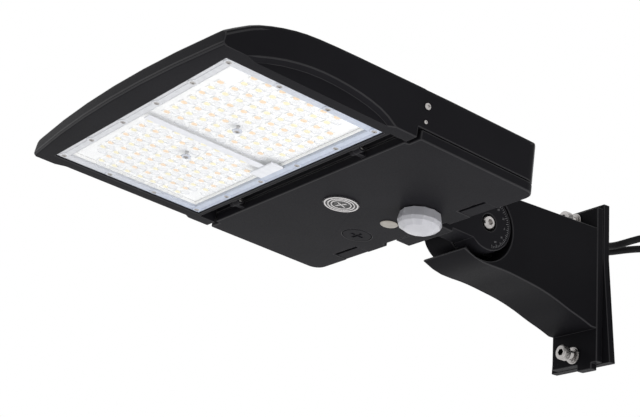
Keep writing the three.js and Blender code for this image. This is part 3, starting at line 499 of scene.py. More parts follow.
def soften(obj, width, segments=2):
    """Rounds the sharp edges, by less in a hollow corner or where a short edge leaves less room."""
    mesh = bmesh.new()
    mesh.from_mesh(obj.data)
    weight = mesh.edges.layers.float.new("bevel_weight_edge")
    for e in mesh.edges:
        if len(e.link_faces) == 2 and e.calc_face_angle(0) > SHARP_ANGLE:
            room = min(other.calc_length() for v in e.verts for other in v.link_edges)
            e[weight] = min(1 if e.is_convex else HOLLOW_SHARE, room * ROOM_SHARE / width)
    mesh.to_mesh(obj.data)
    mesh.free()
    apply_modifier(
        obj, "BEVEL", width=width, segments=segments, limit_method="WEIGHT", use_clamp_overlap=False,
        miter_outer="MITER_ARC", loop_slide=False, material=1,
    )
    refill_flats(obj)


# Finishes. Each reads Object coordinates, so its grain has its real size wherever it lies.
def finish(name, colour, roughness, metallic=0.0, specular=0.5, coat=0.0, coat_roughness=0.1):
    """A material with its shader set, and the tree and shader to add detail to."""
    material = bpy.data.materials.new(name)
    material.use_nodes = True
    tree = material.node_tree
    shader = tree.nodes["Principled BSDF"]
    shader.inputs["Base Color"].default_value = (*colour, 1)
    shader.inputs["Roughness"].default_value = roughness
    shader.inputs["Metallic"].default_value = metallic
    shader.inputs["Specular IOR Level"].default_value = specular
    shader.inputs["Coat Weight"].default_value = coat
    shader.inputs["Coat Roughness"].default_value = coat_roughness
    return material, tree, shader


def object_place(tree, stretch=(1, 1, 1)):
    place = tree.nodes.new("ShaderNodeTexCoord")
    mapping = tree.nodes.new("ShaderNodeMapping")
    mapping.inputs["Scale"].default_value = stretch
    tree.links.new(place.outputs["Object"], mapping.inputs["Vector"])
    return mapping.outputs["Vector"]


def noise(tree, per_metre, detail=2.0, stretch=(1, 1, 1)):
    texture = tree.nodes.new("ShaderNodeTexNoise")
    texture.inputs["Scale"].default_value = per_metre
    texture.inputs["Detail"].default_value = detail
    tree.links.new(object_place(tree, stretch), texture.inputs["Vector"])
    return texture.outputs["Fac"]


def spread(tree, source, low, high, start, end):
    """Brings a pattern's span from start to end over to the span from low to high."""
    span = tree.nodes.new("ShaderNodeMapRange")
    for label, value in (("From Min", start), ("From Max", end), ("To Min", low), ("To Max", high)):
        span.inputs[label].default_value = value
    tree.links.new(source, span.inputs["Value"])
    return span.outputs["Result"]


def vary(tree, source, target, low, high, start=0.3, end=0.7):
    """Sends a pattern to a socket, between two numbers."""
    tree.links.new(spread(tree, source, low, high, start, end), target)


def tint(tree, source, target, dark, light, start=0.3, end=0.7):
    """Sends a pattern to a colour socket, between two colours."""
    ramp = tree.nodes.new("ShaderNodeValToRGB")
    for stop, position, colour in zip(ramp.color_ramp.elements, (start, end), (dark, light)):
        stop.position = position
        stop.color = (*colour, 1)
    tree.links.new(source, ramp.inputs["Fac"])
    tree.links.new(ramp.outputs["Color"], target)


def emboss(tree, shader, source, strength, depth):
    bump = tree.nodes.new("ShaderNodeBump")
    bump.inputs["Strength"].default_value = strength
    bump.inputs["Distance"].default_value = depth
    tree.links.new(source, bump.inputs["Height"])
    tree.links.new(bump.outputs["Normal"], shader.inputs["Normal"])


def skin(name, colour, roughness, shades=None, cloud=None, rough=None, grain=None, bump=None,
         bump_grain=None, **settings):
    """
    A finish made of up to three patterns, each given by its scale per metre and its detail. The cloud moves
    the colour between two shades, the grain moves the roughness, and the bump grain embosses. Where no bump
    grain is given, the grain embosses too.
    """
    material, tree, shader = finish(name, colour, roughness, **settings)
    if shades:
        tint(tree, noise(tree, *cloud), shader.inputs["Base Color"], *shades)
    if rough:
        vary(tree, noise(tree, *grain), shader.inputs["Roughness"], *rough)
    if bump:
        emboss(tree, shader, noise(tree, *(bump_grain or grain)), *bump)
    return material


def powder_coat(name, dark, light, specular):
    return skin(
        name, dark, 0.42, shades=(dark, light), cloud=(14, 4), rough=(0.38, 0.5), grain=(900, 3),
        bump=(0.35, 0.04 * MM), specular=specular,
    )


def clear_plastic(name, colour, roughness, specular, blend, alpha, rough, grain):
    """See-through where it faces the eye, and less so where it turns away."""
    material, tree, shader = finish(name, colour, roughness, specular=specular)
    edge = tree.nodes.new("ShaderNodeLayerWeight")
    edge.inputs["Blend"].default_value = blend
    vary(tree, edge.outputs["Facing"], shader.inputs["Alpha"], *alpha)
    vary(tree, noise(tree, *grain), shader.inputs["Roughness"], *rough)
    return material


# Painted light along the rim: whiter towards the nose, bluer and darker towards the slot, faded between two
# places along Y
RIM_LIT_WHITE = (0.66, 0.67, 0.70)
RIM_SHADED_BLUE = (0.50, 0.55, 0.66)
RIM_FADE_FROM = -0.50
RIM_FADE_TO = -0.37


def lens_rim_plastic():
    """The lens rim of frosted plastic, with painted light along its length: whiter at the nose, bluer by the
    slot.
    """
    material, tree, shader = finish("frosted_lens_rim", (0.62, 0.66, 0.74), 0.16, specular=0.55)
    place = tree.nodes.new("ShaderNodeTexCoord")
    split = tree.nodes.new("ShaderNodeSeparateXYZ")
    tree.links.new(place.outputs["Object"], split.inputs["Vector"])
    fade = spread(tree, split.outputs["Y"], 0, 1, RIM_FADE_FROM, RIM_FADE_TO)
    tint(tree, fade, shader.inputs["Base Color"], RIM_LIT_WHITE, RIM_SHADED_BLUE, 0, 1)
    streaks = noise(tree, 220, 2)
    vary(tree, streaks, shader.inputs["Roughness"], 0.1, 0.26)
    vary(tree, streaks, shader.inputs["Alpha"], 0.86, 0.97)
    return material


def milky_plastic():
    material = skin(
        "milky_sensor_plastic", (0.45, 0.45, 0.475), 0.34, shades=((0.41, 0.41, 0.44), (0.49, 0.49, 0.52)),
        cloud=(60, 3), bump=(0.1, 0.03 * MM), bump_grain=(900, 2), coat=0.25, coat_roughness=0.2,
    )
    shader = material.node_tree.nodes["Principled BSDF"]
    shader.inputs["Subsurface Weight"].default_value = 0.35
    shader.inputs["Subsurface Scale"].default_value = 2 * MM
    shader.inputs["Subsurface Radius"].default_value = (1, 1, 1)
    return material


def led_phosphor(name, dark, light):
    return skin(
        name, light, 0.45, shades=(dark, light), cloud=(1500, 2), bump=(0.3, 0.03 * MM),
        bump_grain=(2600, 2),
    )


def wire_skin(name, colour):
    return skin(name, colour, 0.35, rough=(0.3, 0.45), grain=(1000, 2))


COAT = powder_coat("black_powder_coat", (0.0090, 0.0087, 0.0104), (0.0114, 0.0111, 0.0132), 0.03)
# The same coat on the arm and the back plate, darker as painted shade where light falls off towards the wall
SHADED_ARM_COAT = powder_coat("arm_powder_coat_painted_shade", (0.0060, 0.0058, 0.0070), (0.0076, 0.0074, 0.0088), 0.03)
# The coat on rounded edges, lighter and glossier: a painted highlight along the edges
COAT_EDGE_HIGHLIGHT = powder_coat("coat_edge_painted_highlight", (0.020, 0.0195, 0.0215), (0.026, 0.0255, 0.0275), 0.14)
# Black for the serrated ring between the two halves of the knuckle, matt and darker than the coat as painted
# shade in the split
MATT_SHADED_BLACK = skin(
    "matt_black_painted_shade", (0.006, 0.006, 0.007), 0.62, rough=(0.55, 0.72), grain=(900, 2),
    bump=(0.5, 0.06 * MM), specular=0.03,
)
MOULDED = skin(
    "moulded_black_plastic", (0.010, 0.010, 0.011), 0.5,
    shades=((0.008, 0.008, 0.009), (0.013, 0.013, 0.014)), cloud=(40, 2),
    rough=(0.44, 0.6), grain=(2200, 2), bump=(0.4, 0.02 * MM), specular=0.07,
)
CLEAR = clear_plastic(
    "clear_lens_plastic", (0.86, 0.88, 0.92), 0.07, 0.5, 0.35, (0.03, 0.4, 0.3, 0.98), (0.05, 0.12), (60, 2),
)
OPTIC = clear_plastic(
    "lens_optic_plastic", (0.68, 0.70, 0.76), 0.1, 0.5, 0.5, (0.0, 0.7, 0.5, 0.9), (0.06, 0.14), (200, 2),
)
SMOKE = clear_plastic(
    "smoked_cap_plastic", (0.05, 0.05, 0.052), 0.12, 0.3, 0.3, (0.35, 0.85, 0.2, 0.95), (0.1, 0.2), (300, 2),
)
RIM = lens_rim_plastic()
STRIP = skin(
    "frosted_lens_strip", (0.71, 0.72, 0.76), 0.16, shades=((0.68, 0.69, 0.73), (0.74, 0.75, 0.79)),
    cloud=(220, 2), rough=(0.1, 0.26), grain=(220, 2),
)
BOARD = skin(
    "white_solder_mask", (0.92, 0.92, 0.915), 0.38, shades=((0.90, 0.90, 0.895), (0.94, 0.94, 0.935)),
    cloud=(90, 3), bump=(0.15, 0.02 * MM), bump_grain=(1400, 2),
)
WARM = led_phosphor("led_warm_phosphor", (0.88, 0.60, 0.34), (0.94, 0.73, 0.50))
COOL = led_phosphor("led_cool_phosphor", (0.90, 0.80, 0.44), (0.95, 0.88, 0.60))
LED_CASE = skin("led_white_case", (0.88, 0.88, 0.86), 0.3, rough=(0.25, 0.4), grain=(800, 2))
STEEL = skin(
    "turned_stainless", (0.45, 0.43, 0.42), 0.26, shades=((0.38, 0.365, 0.355), (0.52, 0.50, 0.49)),
    cloud=(300, 2), rough=(0.18, 0.36), grain=(1600, 3), bump=(0.2, 0.02 * MM), metallic=1.0,
)
ZINC = skin(
    "plain_metal_case", (0.5, 0.5, 0.5), 0.36, shades=((0.42, 0.42, 0.43), (0.56, 0.56, 0.56)),
    cloud=(30, 3), rough=(0.28, 0.48), grain=(260, 3, (1, 0.03, 1)), metallic=0.9,
)
MILKY = milky_plastic()
COLLAR = skin(
    "grey_sensor_collar", (0.22, 0.22, 0.235), 0.35, rough=(0.3, 0.45), grain=(1200, 2),
    bump=(0.2, 0.02 * MM), bump_grain=(2000, 2),
)
BEIGE = skin(
    "frosted_beige_window", (0.25, 0.225, 0.20), 0.4, shades=((0.21, 0.19, 0.165), (0.29, 0.265, 0.235)),
    cloud=(160, 3), bump=(0.3, 0.03 * MM), bump_grain=(1600, 2), coat=0.3, coat_roughness=0.15,
)
SILVER = skin(
    "silver_selector_ring", (0.62, 0.60, 0.60), 0.22, rough=(0.16, 0.32), grain=(1500, 3), metallic=0.85,
)
SEAL = skin(
    "matt_silicone", (0.016, 0.016, 0.017), 0.75, rough=(0.7, 0.85), grain=(500, 2), bump=(0.3, 0.04 * MM),
    bump_grain=(1200, 2), specular=0.06,
)
JACKET = skin(
    "black_cord_jacket", (0.009, 0.009, 0.0095), 0.42,
    shades=((0.007, 0.007, 0.0075), (0.014, 0.014, 0.0145)), cloud=(120, 3),
    rough=(0.36, 0.52), grain=(900, 2), bump=(0.15, 0.05 * MM), bump_grain=(700, 2),
    specular=0.07,
)
BROWN = wire_skin("brown_wire_skin", (0.16, 0.06, 0.025))
BLUE = wire_skin("blue_wire_skin", (0.02, 0.07, 0.35))
GREEN = wire_skin("green_wire_skin", (0.03, 0.25, 0.04))
RED = wire_skin("red_wire_skin", (0.5, 0.02, 0.015))
WHITE_WIRE = wire_skin("white_wire_skin", (0.7, 0.7, 0.68))
COPPER = wire_skin("tinned_copper", (0.62, 0.50, 0.38))
MARK = skin(
    "pale_pad_print", (0.10, 0.10, 0.104), 0.5, shades=((0.07, 0.07, 0.073), (0.13, 0.13, 0.135)),
    cloud=(1800, 2),
)


# Castings, lens bay and boards, in the head's square place: nose at Y = 0, underside at Z = 0
CASTING_SEGMENTS = 3
CASTING_SMOOTH = 28
# Each casting's node, name, place, body, coat and the width of its rounded edges
CASTINGS = (
    ("housing", "die_cast_housing", HEAD, "head", COAT, 0.8 * MM),
    ("driver_cover", "hinged_driver_cover", HEAD, "cover", COAT, 1.1 * MM),
    # The arm and the back plate take the coat with its painted shade
    ("arm", "tilting_wall_arm", ARM, "arm", SHADED_ARM_COAT, 1.0 * MM),
    ("wall_plate", "back_plate", ARM, "arm", SHADED_ARM_COAT, 0.6 * MM),
)


def make_castings():
    for node, name, place, body, coat, edge in CASTINGS:
        casting = casting_copy(node, place)
        soften(casting, edge, CASTING_SEGMENTS)
        # The rounded edges get the coat's painted highlight
        set_down(casting, name, place, body, coat, [node], CASTING_SMOOTH, COAT_EDGE_HIGHLIGHT)


make_castings()


# Lens panel: a frosted rim with a groove and screw bosses round a clear field with an optic over each LED
BAY_LOW, BAY_HIGH = drawn_box("lens_panel", HEAD)
BOARD_LOW, BOARD_HIGH = drawn_box("led_board_right", HEAD)
LENS_FACE = BAY_LOW.z
RIM_WIDTH = 10 * MM
RIM_LIP = 2.1 * MM
RIM_GROOVE = 1.3 * MM
RIM_GROOVE_SLOPE = RIM_GROOVE * 0.2
RIM_GROOVE_DEPTH = 0.6 * MM
RIM_LAND = 4.6 * MM
RIM_STEP = 0.5 * MM
RIM_BACK_PLAY = 0.6 * MM
RIM_EDGE = 0.25 * MM
FIELD_FACE = LENS_FACE - RIM_STEP
FIELD_THICKNESS = 1.7 * MM
FIELD_LAP = 0.4 * MM
LED_PITCH = 13 * MM
LED_FROM_MIDDLE = 12.9 * MM
LED_COLUMNS = 9
LED_ROWS = 9
LED_ROW_MIDDLE = (BOARD_LOW.y + BOARD_HIGH.y) / 2 + 0.8 * MM
# Rows and columns without an LED: the board's corners, and the middle screw's place
LED_GAPS = {(0, 7), (0, 8), (8, 0), (8, 7), (8, 8), (4, 2)}
OPTIC_RADIUS = 4.7 * MM
OPTIC_RISE = 1.2 * MM
OPTIC_SIDES = 12
OPTIC_RINGS = 3
SUNK = 0.2 * MM
LENS_SCREW_NODES = [f"lens_screw_{i + 1:02d}" for i in range(18)]
LENS_SCREW_BOXES = [drawn_box(node, HEAD) for node in LENS_SCREW_NODES]
RIM_SCREWS = 16
BOSS_BORE = 1.75 * MM
BOSS_RADIUS = 4.1 * MM
BOSS_RISE = 0.6 * MM
BOSS_ROOT = 0.5 * MM
STRIP_HALF = 4 * MM
STRIP_RISE = 0.6 * MM
STRIP_FROM_RIM = 2 * MM
STRIP_ROOT = 0.3 * MM
CONNECTOR_LOW = Vector((-18, 137, 0)) * MM
CONNECTOR_HIGH = Vector((15, 155, 0)) * MM
CONNECTOR_RISE = 1.6 * MM
CONNECTOR_PLAY = 0.6 * MM


def led_places():
    """Where the LEDs sit, with their side and the number of their column."""
    places = []
    for side in (-1, 1):
        for row in range(LED_ROWS):
            for column in range(LED_COLUMNS):
                if (row, column) not in LED_GAPS:
                    x = side * (LED_FROM_MIDDLE + LED_PITCH * column)
                    y = LED_ROW_MIDDLE + LED_PITCH * (row - LED_ROWS // 2)
                    places.append((x, y, side, column))
    return places


def make_lens_rim():
    rim = block(BAY_LOW, BAY_HIGH)
    inset_faces(
        rim, looks_down, (RIM_LIP, 0), (RIM_GROOVE_SLOPE, -RIM_GROOVE_DEPTH), (RIM_GROOVE, 0),
        (RIM_GROOVE_SLOPE, RIM_GROOVE_DEPTH), (RIM_LAND, 0), (RIM_STEP, RIM_STEP), opened=True,
    )
    inset_faces(rim, looks_up_at(BAY_HIGH.z), (RIM_WIDTH - RIM_BACK_PLAY, 0), opened=True)
    edit(rim, "EDGE")
    bpy.ops.mesh.select_all(action="DESELECT")
    bpy.ops.mesh.select_non_manifold()
    bpy.ops.mesh.bridge_edge_loops()
    done()
    heal(rim)
    round_edges(rim, RIM_EDGE, 2)
    return rim


def make_screw_bosses():
    """Raised rings round the screws in the rim, and round the two in the middle of the field."""
    boss = turned(
        [(BOSS_BORE, BOSS_ROOT), (BOSS_BORE, -BOSS_RISE * 0.5), (BOSS_BORE + 0.55 * MM, -BOSS_RISE),
         (BOSS_RADIUS - 0.4 * MM, -BOSS_RISE), (BOSS_RADIUS, -BOSS_RISE * 0.4),
         (BOSS_RADIUS + 0.2 * MM, BOSS_ROOT), (BOSS_BORE, BOSS_ROOT)],
        sides=24,
    )
    spots = []
    for i, (low, high) in enumerate(LENS_SCREW_BOXES):
        middle = (low + high) / 2
        spots.append(Vector((middle.x, middle.y, LENS_FACE if i < RIM_SCREWS else FIELD_FACE)))
    return repeat(boss, spots)


def make_lens_field():
    """The clear plate, and the strip down its middle with the raised connector pocket at its end."""
    low = Vector((*border(BAY_LOW, BAY_HIGH, RIM_WIDTH - FIELD_LAP)[0], FIELD_FACE))
    high = Vector((*border(BAY_LOW, BAY_HIGH, RIM_WIDTH - FIELD_LAP)[2], FIELD_FACE + FIELD_THICKNESS))
    plate = block(low, high)
    root = FIELD_FACE + STRIP_ROOT
    strip = block(
        (-STRIP_HALF, low.y + STRIP_FROM_RIM, FIELD_FACE - STRIP_RISE), (STRIP_HALF, CONNECTOR_LOW.y, root),
    )
    round_edges(strip, 0.5 * MM, 2)
    bump = block(
        (CONNECTOR_LOW.x, CONNECTOR_LOW.y, FIELD_FACE - CONNECTOR_RISE),
        (CONNECTOR_HIGH.x, min(CONNECTOR_HIGH.y, high.y - CONNECTOR_PLAY), root),
    )
    round_edges(bump, 1.2 * MM, 3)
    return plate, join(strip, bump)


SKIRT_INSET = 10.3 * MM
SKIRT_WALL = 0.5 * MM
SKIRT_FROM_FACE = 1.3 * MM
SKIRT_TOP_GAP = 0.15 * MM


def make_skirt():
    """A thin white wall from the lens's back to the boards, which hides the seal and the gap round them."""
    low, high = LENS_FACE + SKIRT_FROM_FACE, BOARD_LOW.z - SKIRT_TOP_GAP
    walls = []
    for inset in (SKIRT_INSET, SKIRT_INSET + SKIRT_WALL):
        corners = border(BAY_LOW, BAY_HIGH, inset)
        walls.append(block((*corners[0], low), (*corners[2], high)))
    outer, inner = walls
    choose_faces(inner, lambda face: looks_down(face) or looks_up(face))
    bpy.ops.transform.resize(value=(1, 1, 2))
    done()
    cut_out(outer, inner)
    return outer


def make_optics():
    """Low round caps on the lens's face, one over each LED."""
    sphere = (OPTIC_RADIUS ** 2 + OPTIC_RISE ** 2) / (2 * OPTIC_RISE)
    spread_angle = math.asin(OPTIC_RADIUS / sphere)
    profile = [(0, SUNK), (OPTIC_RADIUS, SUNK)]
    for i in range(OPTIC_RINGS + 1):
        angle = spread_angle * (1 - i / OPTIC_RINGS)
        profile.append((sphere * math.sin(angle), -sphere * math.cos(angle) + sphere - OPTIC_RISE))
    cap = turned(profile, sides=OPTIC_SIDES)
    return repeat(cap, [Vector((x, y, FIELD_FACE)) for x, y, _, _ in led_places()])


def make_lens():
    field, strip = make_lens_field()
    pieces = (
        (join(make_lens_rim(), make_screw_bosses()), "lens_rim", RIM, 30),
        (field, "lens_field", CLEAR, 30),
        (strip, "lens_middle_strip", STRIP, 30),
        (make_skirt(), "lens_white_skirt", LED_CASE, 30),
        (make_optics(), "lens_optics", OPTIC, 60),
    )
    for piece, name, material, smooth in pieces:
        set_down(piece, name, HEAD, "head", material, ["lens_panel"], smooth)


make_lens()


# LED boards: white solder mask with rows of packages, each a white case round its phosphor
LED_CASE_SIZE = 6.4 * MM
LED_CASE_HEIGHT = 0.8 * MM
LED_CASE_ROOT = 0.05 * MM
LED_CASE_RIM = 0.35 * MM
LED_CASE_DISH = 0.3 * MM
LED_PHOSPHOR = 2.75 * MM
LED_BOARD_FACE = BOARD_LOW.z
BOARD_EDGE = 0.2 * MM
GAP_STRIP_PLAY = 0.15 * MM
GAP_STRIP_THICKNESS = 0.6 * MM


def make_led_cases(places):
    """A square case with a sunk face, drawn once and copied."""
    half = LED_CASE_SIZE / 2
    case = block((-half, -half, -LED_CASE_HEIGHT), (half, half, LED_CASE_ROOT))
    inset_faces(case, looks_down, (LED_CASE_RIM, 0), (LED_CASE_DISH, -LED_CASE_DISH))
    return repeat(case, places)


def make_led_phosphors(places):
    disc = turned(
        [(0, -0.3 * MM), (LED_PHOSPHOR, -0.3 * MM), (LED_PHOSPHOR * 0.96, -0.62 * MM),
         (LED_PHOSPHOR * 0.6, -0.72 * MM), (0, -0.75 * MM)],
        sides=12,
    )
    return repeat(disc, places)


def make_gap_strip():
    """A thin white strip that closes the gap between the two boards."""
    left = drawn_box("led_board_left", HEAD)[1].x + GAP_STRIP_PLAY
    right = BOARD_LOW.x - GAP_STRIP_PLAY
    back = LED_BOARD_FACE + GAP_STRIP_PLAY
    strip = block((left, BOARD_LOW.y, back), (right, BOARD_HIGH.y, back + GAP_STRIP_THICKNESS))
    round_edges(strip, GAP_STRIP_PLAY, 1)
    boards = ["led_board_left", "led_board_right"]
    set_down(strip, "led_board_gap_strip", HEAD, "head", BOARD, boards)


def make_boards():
    for side, name in ((-1, "left"), (1, "right")):
        node = f"led_board_{name}"
        columns, spots = [], []
        for x, y, led_side, column in led_places():
            if led_side == side:
                columns.append(column)
                spots.append(Vector((x, y, LED_BOARD_FACE)))
        board = casting_copy(node, HEAD)
        round_edges(board, BOARD_EDGE, 1)
        set_down(board, f"led_board_plate_{name}", HEAD, "head", BOARD, [node])
        set_down(make_led_cases(spots), f"led_cases_{name}", HEAD, "head", LED_CASE, [node])
        for parity, colour, material in ((0, "cool", COOL), (1, "warm", WARM)):
            turn = parity if side < 0 else 1 - parity
            own = [spot for spot, column in zip(spots, columns) if column % 2 == turn]
            piece = f"led_phosphors_{colour}_{name}"
            set_down(make_led_phosphors(own), piece, HEAD, "head", material, [node])


make_boards()
make_gap_strip()


# Fixings. Each is drawn with its seat at the origin, its head towards -Z and its shank towards +Z.
HEX = 6
CROSS_TAPER = 0.6
CROSS_REACH = 0.56
CROSS_WIDTH = 0.13
CROSS_DEPTH = 0.55
SCREW_SIDES = 20
SCREW_SMOOTH = 35
# Heads as shares of their radius and their height, from the top down to the seat
PAN_HEAD = ((0, 1), (0.45, 0.97), (0.8, 0.74), (0.97, 0.4), (1, 0.12), (0.95, 0))
BUTTON_HEAD = ((0, 1), (0.56, 1), (0.8, 0.86), (0.95, 0.55), (1, 0.2), (1, 0.05), (0.97, 0))


def cross_tool(reach, width, top, depth):
    """Two crossed wedges that a cross recess is cut with, from the height top inwards."""
    blades = []
    for long, thin in ((reach, width), (width, reach)):
        blade = block((-long, -thin, top - width), (long, thin, top + depth))
        choose_faces(blade, looks_up)
        bpy.ops.transform.resize(value=(CROSS_TAPER, CROSS_TAPER, 1))
        done()
        blades.append(blade)
    return blades


def head_profile(shares, head, height):
    return [(head * out, -height * up) for out, up in shares]


def pan_screw(head, height, shank, length):
    """A low domed head with a cross recess, on a plain shank."""
    profile = head_profile(PAN_HEAD, head, height) + [(shank, 0), (0.8 * shank, length), (0, length)]
    screw = turned(profile, sides=SCREW_SIDES)
    for blade in cross_tool(CROSS_REACH * head, CROSS_WIDTH * head, -height, CROSS_DEPTH * height):
        cut_out(screw, blade)
    return screw


def facing(way, at):
    """The place that turns a fixing's head to look along a direction, with its seat at a point."""
    return Matrix.Translation(at) @ Vector(way).to_track_quat("-Z", "Y").to_matrix().to_4x4()


def put(obj, place):
    obj.data.transform(place)
    return obj


def put_turned(obj, spot, degrees):
    """Turns a piece about Z and moves it to a spot."""
    return put(obj, Matrix.Translation(spot) @ Matrix.Rotation(math.radians(degrees), 4, "Z"))


def toothed(teeth, tip, root):
    """The corners of a toothed outline round the origin."""
    corners = []
    for i in range(teeth * 2):
        angle = math.pi * i / teeth
        r = tip if i % 2 else root
        corners.append((r * math.cos(angle), r * math.sin(angle)))
    return corners


LENS_SCREW_HEAD = 2.6 * MM
LENS_SCREW_RISE = 1.4 * MM
LENS_SCREW_SHANK = 1.4 * MM
LENS_SCREW_LENGTH = 6.2 * MM
SIDE_SCREW_REACH = 7 * MM
SIDE_SCREW_SHANK = 1.1 * MM


def make_lens_screws():
    screw = pan_screw(LENS_SCREW_HEAD, LENS_SCREW_RISE, LENS_SCREW_SHANK, LENS_SCREW_LENGTH)
    seats = []
    for low, high in LENS_SCREW_BOXES:
        seat = (low + high) / 2
        seat.z = low.z + LENS_SCREW_RISE
        seats.append(seat)
    screws = repeat(screw, seats)
    set_down(screws, "lens_screws", HEAD, "head", STEEL, LENS_SCREW_NODES, SCREW_SMOOTH)


def make_side_screws():
    for side, way in (("left", -1), ("right", 1)):
        for size in ("large", "small"):
            node = f"side_screw_{side}_{size}"
            low, high = drawn_box(node, HEAD)
            head = (high.z - low.z) / 2
            height = head / 2
            seat = (low + high) / 2
            seat.x = high.x - height if way > 0 else low.x + height
            screw = pan_screw(head, height, SIDE_SCREW_SHANK, SIDE_SCREW_REACH - height)
            put(screw, facing((way, 0, 0), seat))
            set_down(screw, f"{node}_fixing", HEAD, "head", STEEL, [node], SCREW_SMOOTH)


def make_hinge_pins():
    for side in ("left", "right"):
        node = f"hinge_pin_{side}"
        low, high = drawn_box(node, HEAD)
        r = (high.z - low.z) / 2
        middle = (low + high) / 2
        middle.x = 0
        pin = turned(
            [(0, low.x), (0.8 * r, low.x), (r, low.x + 0.3 * MM), (r, high.x - 0.6 * MM),
             (0.9 * r, high.x - 0.2 * MM), (0.55 * r, high.x), (0, high.x)],
            "x", middle, 20,
        )
        set_down(pin, f"{node}_steel", HEAD, "head", STEEL, [node])


def hex_tool(radius, low, high):
    return turned(rod(radius, low, high), sides=HEX)


PIVOT_HEAD = 6.75 * MM
PIVOT_HEAD_HEIGHT = 4.5 * MM
PIVOT_SHANK = 4 * MM
PIVOT_SOCKET = 3 * MM
NUT_RADIUS = 7.6 * MM
NUT_BORE = 4.3 * MM
NUT_CHAMFER = 1.2 * MM


def make_pivot_bolt():
    low, high = drawn_box("pivot_bolt", ARM)
    shank, height = PIVOT_SHANK, PIVOT_HEAD_HEIGHT
    length = high.x - low.x - height
    profile = head_profile(BUTTON_HEAD, PIVOT_HEAD, height)
    profile += [(shank, 0), (shank, length - 0.5 * MM), (0.85 * shank, length), (0, length)]
    bolt = turned(profile, sides=36)
    cut_out(bolt, hex_tool(PIVOT_SOCKET, -height - MM, -0.4 * height))
    put(bolt, facing((1, 0, 0), Vector((high.x - height, 0, 0))))
    set_down(bolt, "pivot_bolt_steel", ARM, "arm", STEEL, ["pivot_bolt"])


def make_pivot_nut():
    low, high = drawn_box("pivot_nut", ARM)
    r, start = NUT_RADIUS, low.x - MM
    nut = turned(tube(NUT_BORE, r, low.x, high.x), "x", sides=HEX)
    chamfer = turned(
        [(0.6 * r, start), (0.84 * r, low.x - 0.01 * MM), (1.04 * r, low.x + NUT_CHAMFER),
         (1.3 * r, low.x + NUT_CHAMFER), (1.3 * r, start), (0.6 * r, start)],
        "x", sides=36,
    )
    cut_out(nut, chamfer)
    round_edges(nut, 0.2 * MM, 1)
    set_down(nut, "pivot_nut_steel", ARM, "arm", STEEL, ["pivot_nut"])


BOLT_HEAD = 7 * MM
BOLT_HEAD_HEIGHT = 7 * MM
BOLT_SOCKET = 3.5 * MM
BOLT_SHANK = 4 * MM
THREAD_PITCH = 1.25 * MM
THREAD_DEPTH = 0.5 * MM
KNURLS = 36
KNURL_DEPTH = 0.28 * MM
KNURL_FROM_TOP = 0.7 * MM
KNURL_FROM_SEAT = 0.1 * MM
WASHER_BORE = 4.4 * MM
WASHER_EDGE = 0.35 * MM
SPRING_BORE = 4.25 * MM
SPRING_RADIUS = 7.1 * MM
SPRING_HEIGHT = 1.9 * MM
SPRING_GAP = 0.15 * MM
SLIT_HALF = 0.45 * MM
SLIT_SLANT = 2 * MM


def knurled_head():
    """A socket head with fine grooves round its side."""
    r, top = BOLT_HEAD, -BOLT_HEAD_HEIGHT
    outline = toothed(KNURLS, r, r - KNURL_DEPTH)
    side = prism(
        [Vector((x, y, top + KNURL_FROM_TOP)) for x, y in outline],
        Vector((0, 0, BOLT_HEAD_HEIGHT - KNURL_FROM_TOP - KNURL_FROM_SEAT)),
    )
    crown = turned(
        [(0, top), (r - MM, top), (r - 0.35 * MM, top + 0.4 * MM), (r - 0.2 * MM, top + 0.75 * MM),
         (r - 0.3 * MM, -0.05 * MM), (0, -0.05 * MM)],
        sides=36,
    )
    for part in (side, crown):
        cut_out(part, hex_tool(BOLT_SOCKET, top - MM, 0.5 * top))
    return join(crown, side)


def threaded_shank(length):
    profile = [(0, -0.1 * MM), (BOLT_SHANK, -0.1 * MM)]
    for i in range(int((length - MM) / THREAD_PITCH)):
        profile.append((BOLT_SHANK, (i + 0.35) * THREAD_PITCH))
        profile.append((BOLT_SHANK - THREAD_DEPTH, (i + 0.8) * THREAD_PITCH))
    profile += [(BOLT_SHANK - 0.2 * MM, length - 0.8 * MM), (BOLT_SHANK - 0.9 * MM, length), (0, length)]
    return turned(profile, sides=24)


def lock_washer(start):
    """A spring washer: a ring with a slanting slit, drawn round the thread."""
    end = start + SPRING_HEIGHT
    ring = turned(tube(SPRING_BORE, SPRING_RADIUS, start, end), sides=36)
    slit = block((SPRING_BORE - MM, -SLIT_HALF, start - MM), (SPRING_RADIUS + MM, SLIT_HALF, end + MM))
    choose_faces(slit, looks_up)
    bpy.ops.transform.translate(value=(0, SLIT_SLANT, 0))
    done()
    cut_out(ring, slit)
    round_edges(ring, 0.3 * MM, 2)
    return ring


def make_mount_fixings():
    for name in ("upper", "lower"):
        bolt_node, washer_node = f"mount_bolt_{name}", f"mount_washer_{name}"
        low, high = drawn_box(bolt_node, ARM)
        flat_low, flat_high = drawn_box(washer_node, ARM)
        seat = Vector((0, low.y + BOLT_HEAD_HEIGHT, (low.z + high.z) / 2))
        place = facing((0, -1, 0), seat)
        bolt = put(join(knurled_head(), threaded_shank(high.y - seat.y)), place)
        set_down(bolt, f"{bolt_node}_steel", ARM, "arm", STEEL, [bolt_node], SCREW_SMOOTH)
        spring = put(lock_washer(flat_low.y - seat.y - SPRING_HEIGHT - SPRING_GAP), place)
        set_down(spring, f"lock_washer_{name}", ARM, "arm", STEEL, [washer_node])
        profile = tube(WASHER_BORE, (flat_high.x - flat_low.x) / 2, flat_low.y, flat_high.y)
        washer = turned(profile, "y", (0, 0, seat.z), 40)
        round_edges(washer, WASHER_EDGE, 2)
        set_down(washer, f"flat_washer_{name}", ARM, "arm", STEEL, [washer_node])


make_lens_screws()
make_side_screws()
make_hinge_pins()
make_pivot_bolt()
make_pivot_nut()
make_mount_fixings()


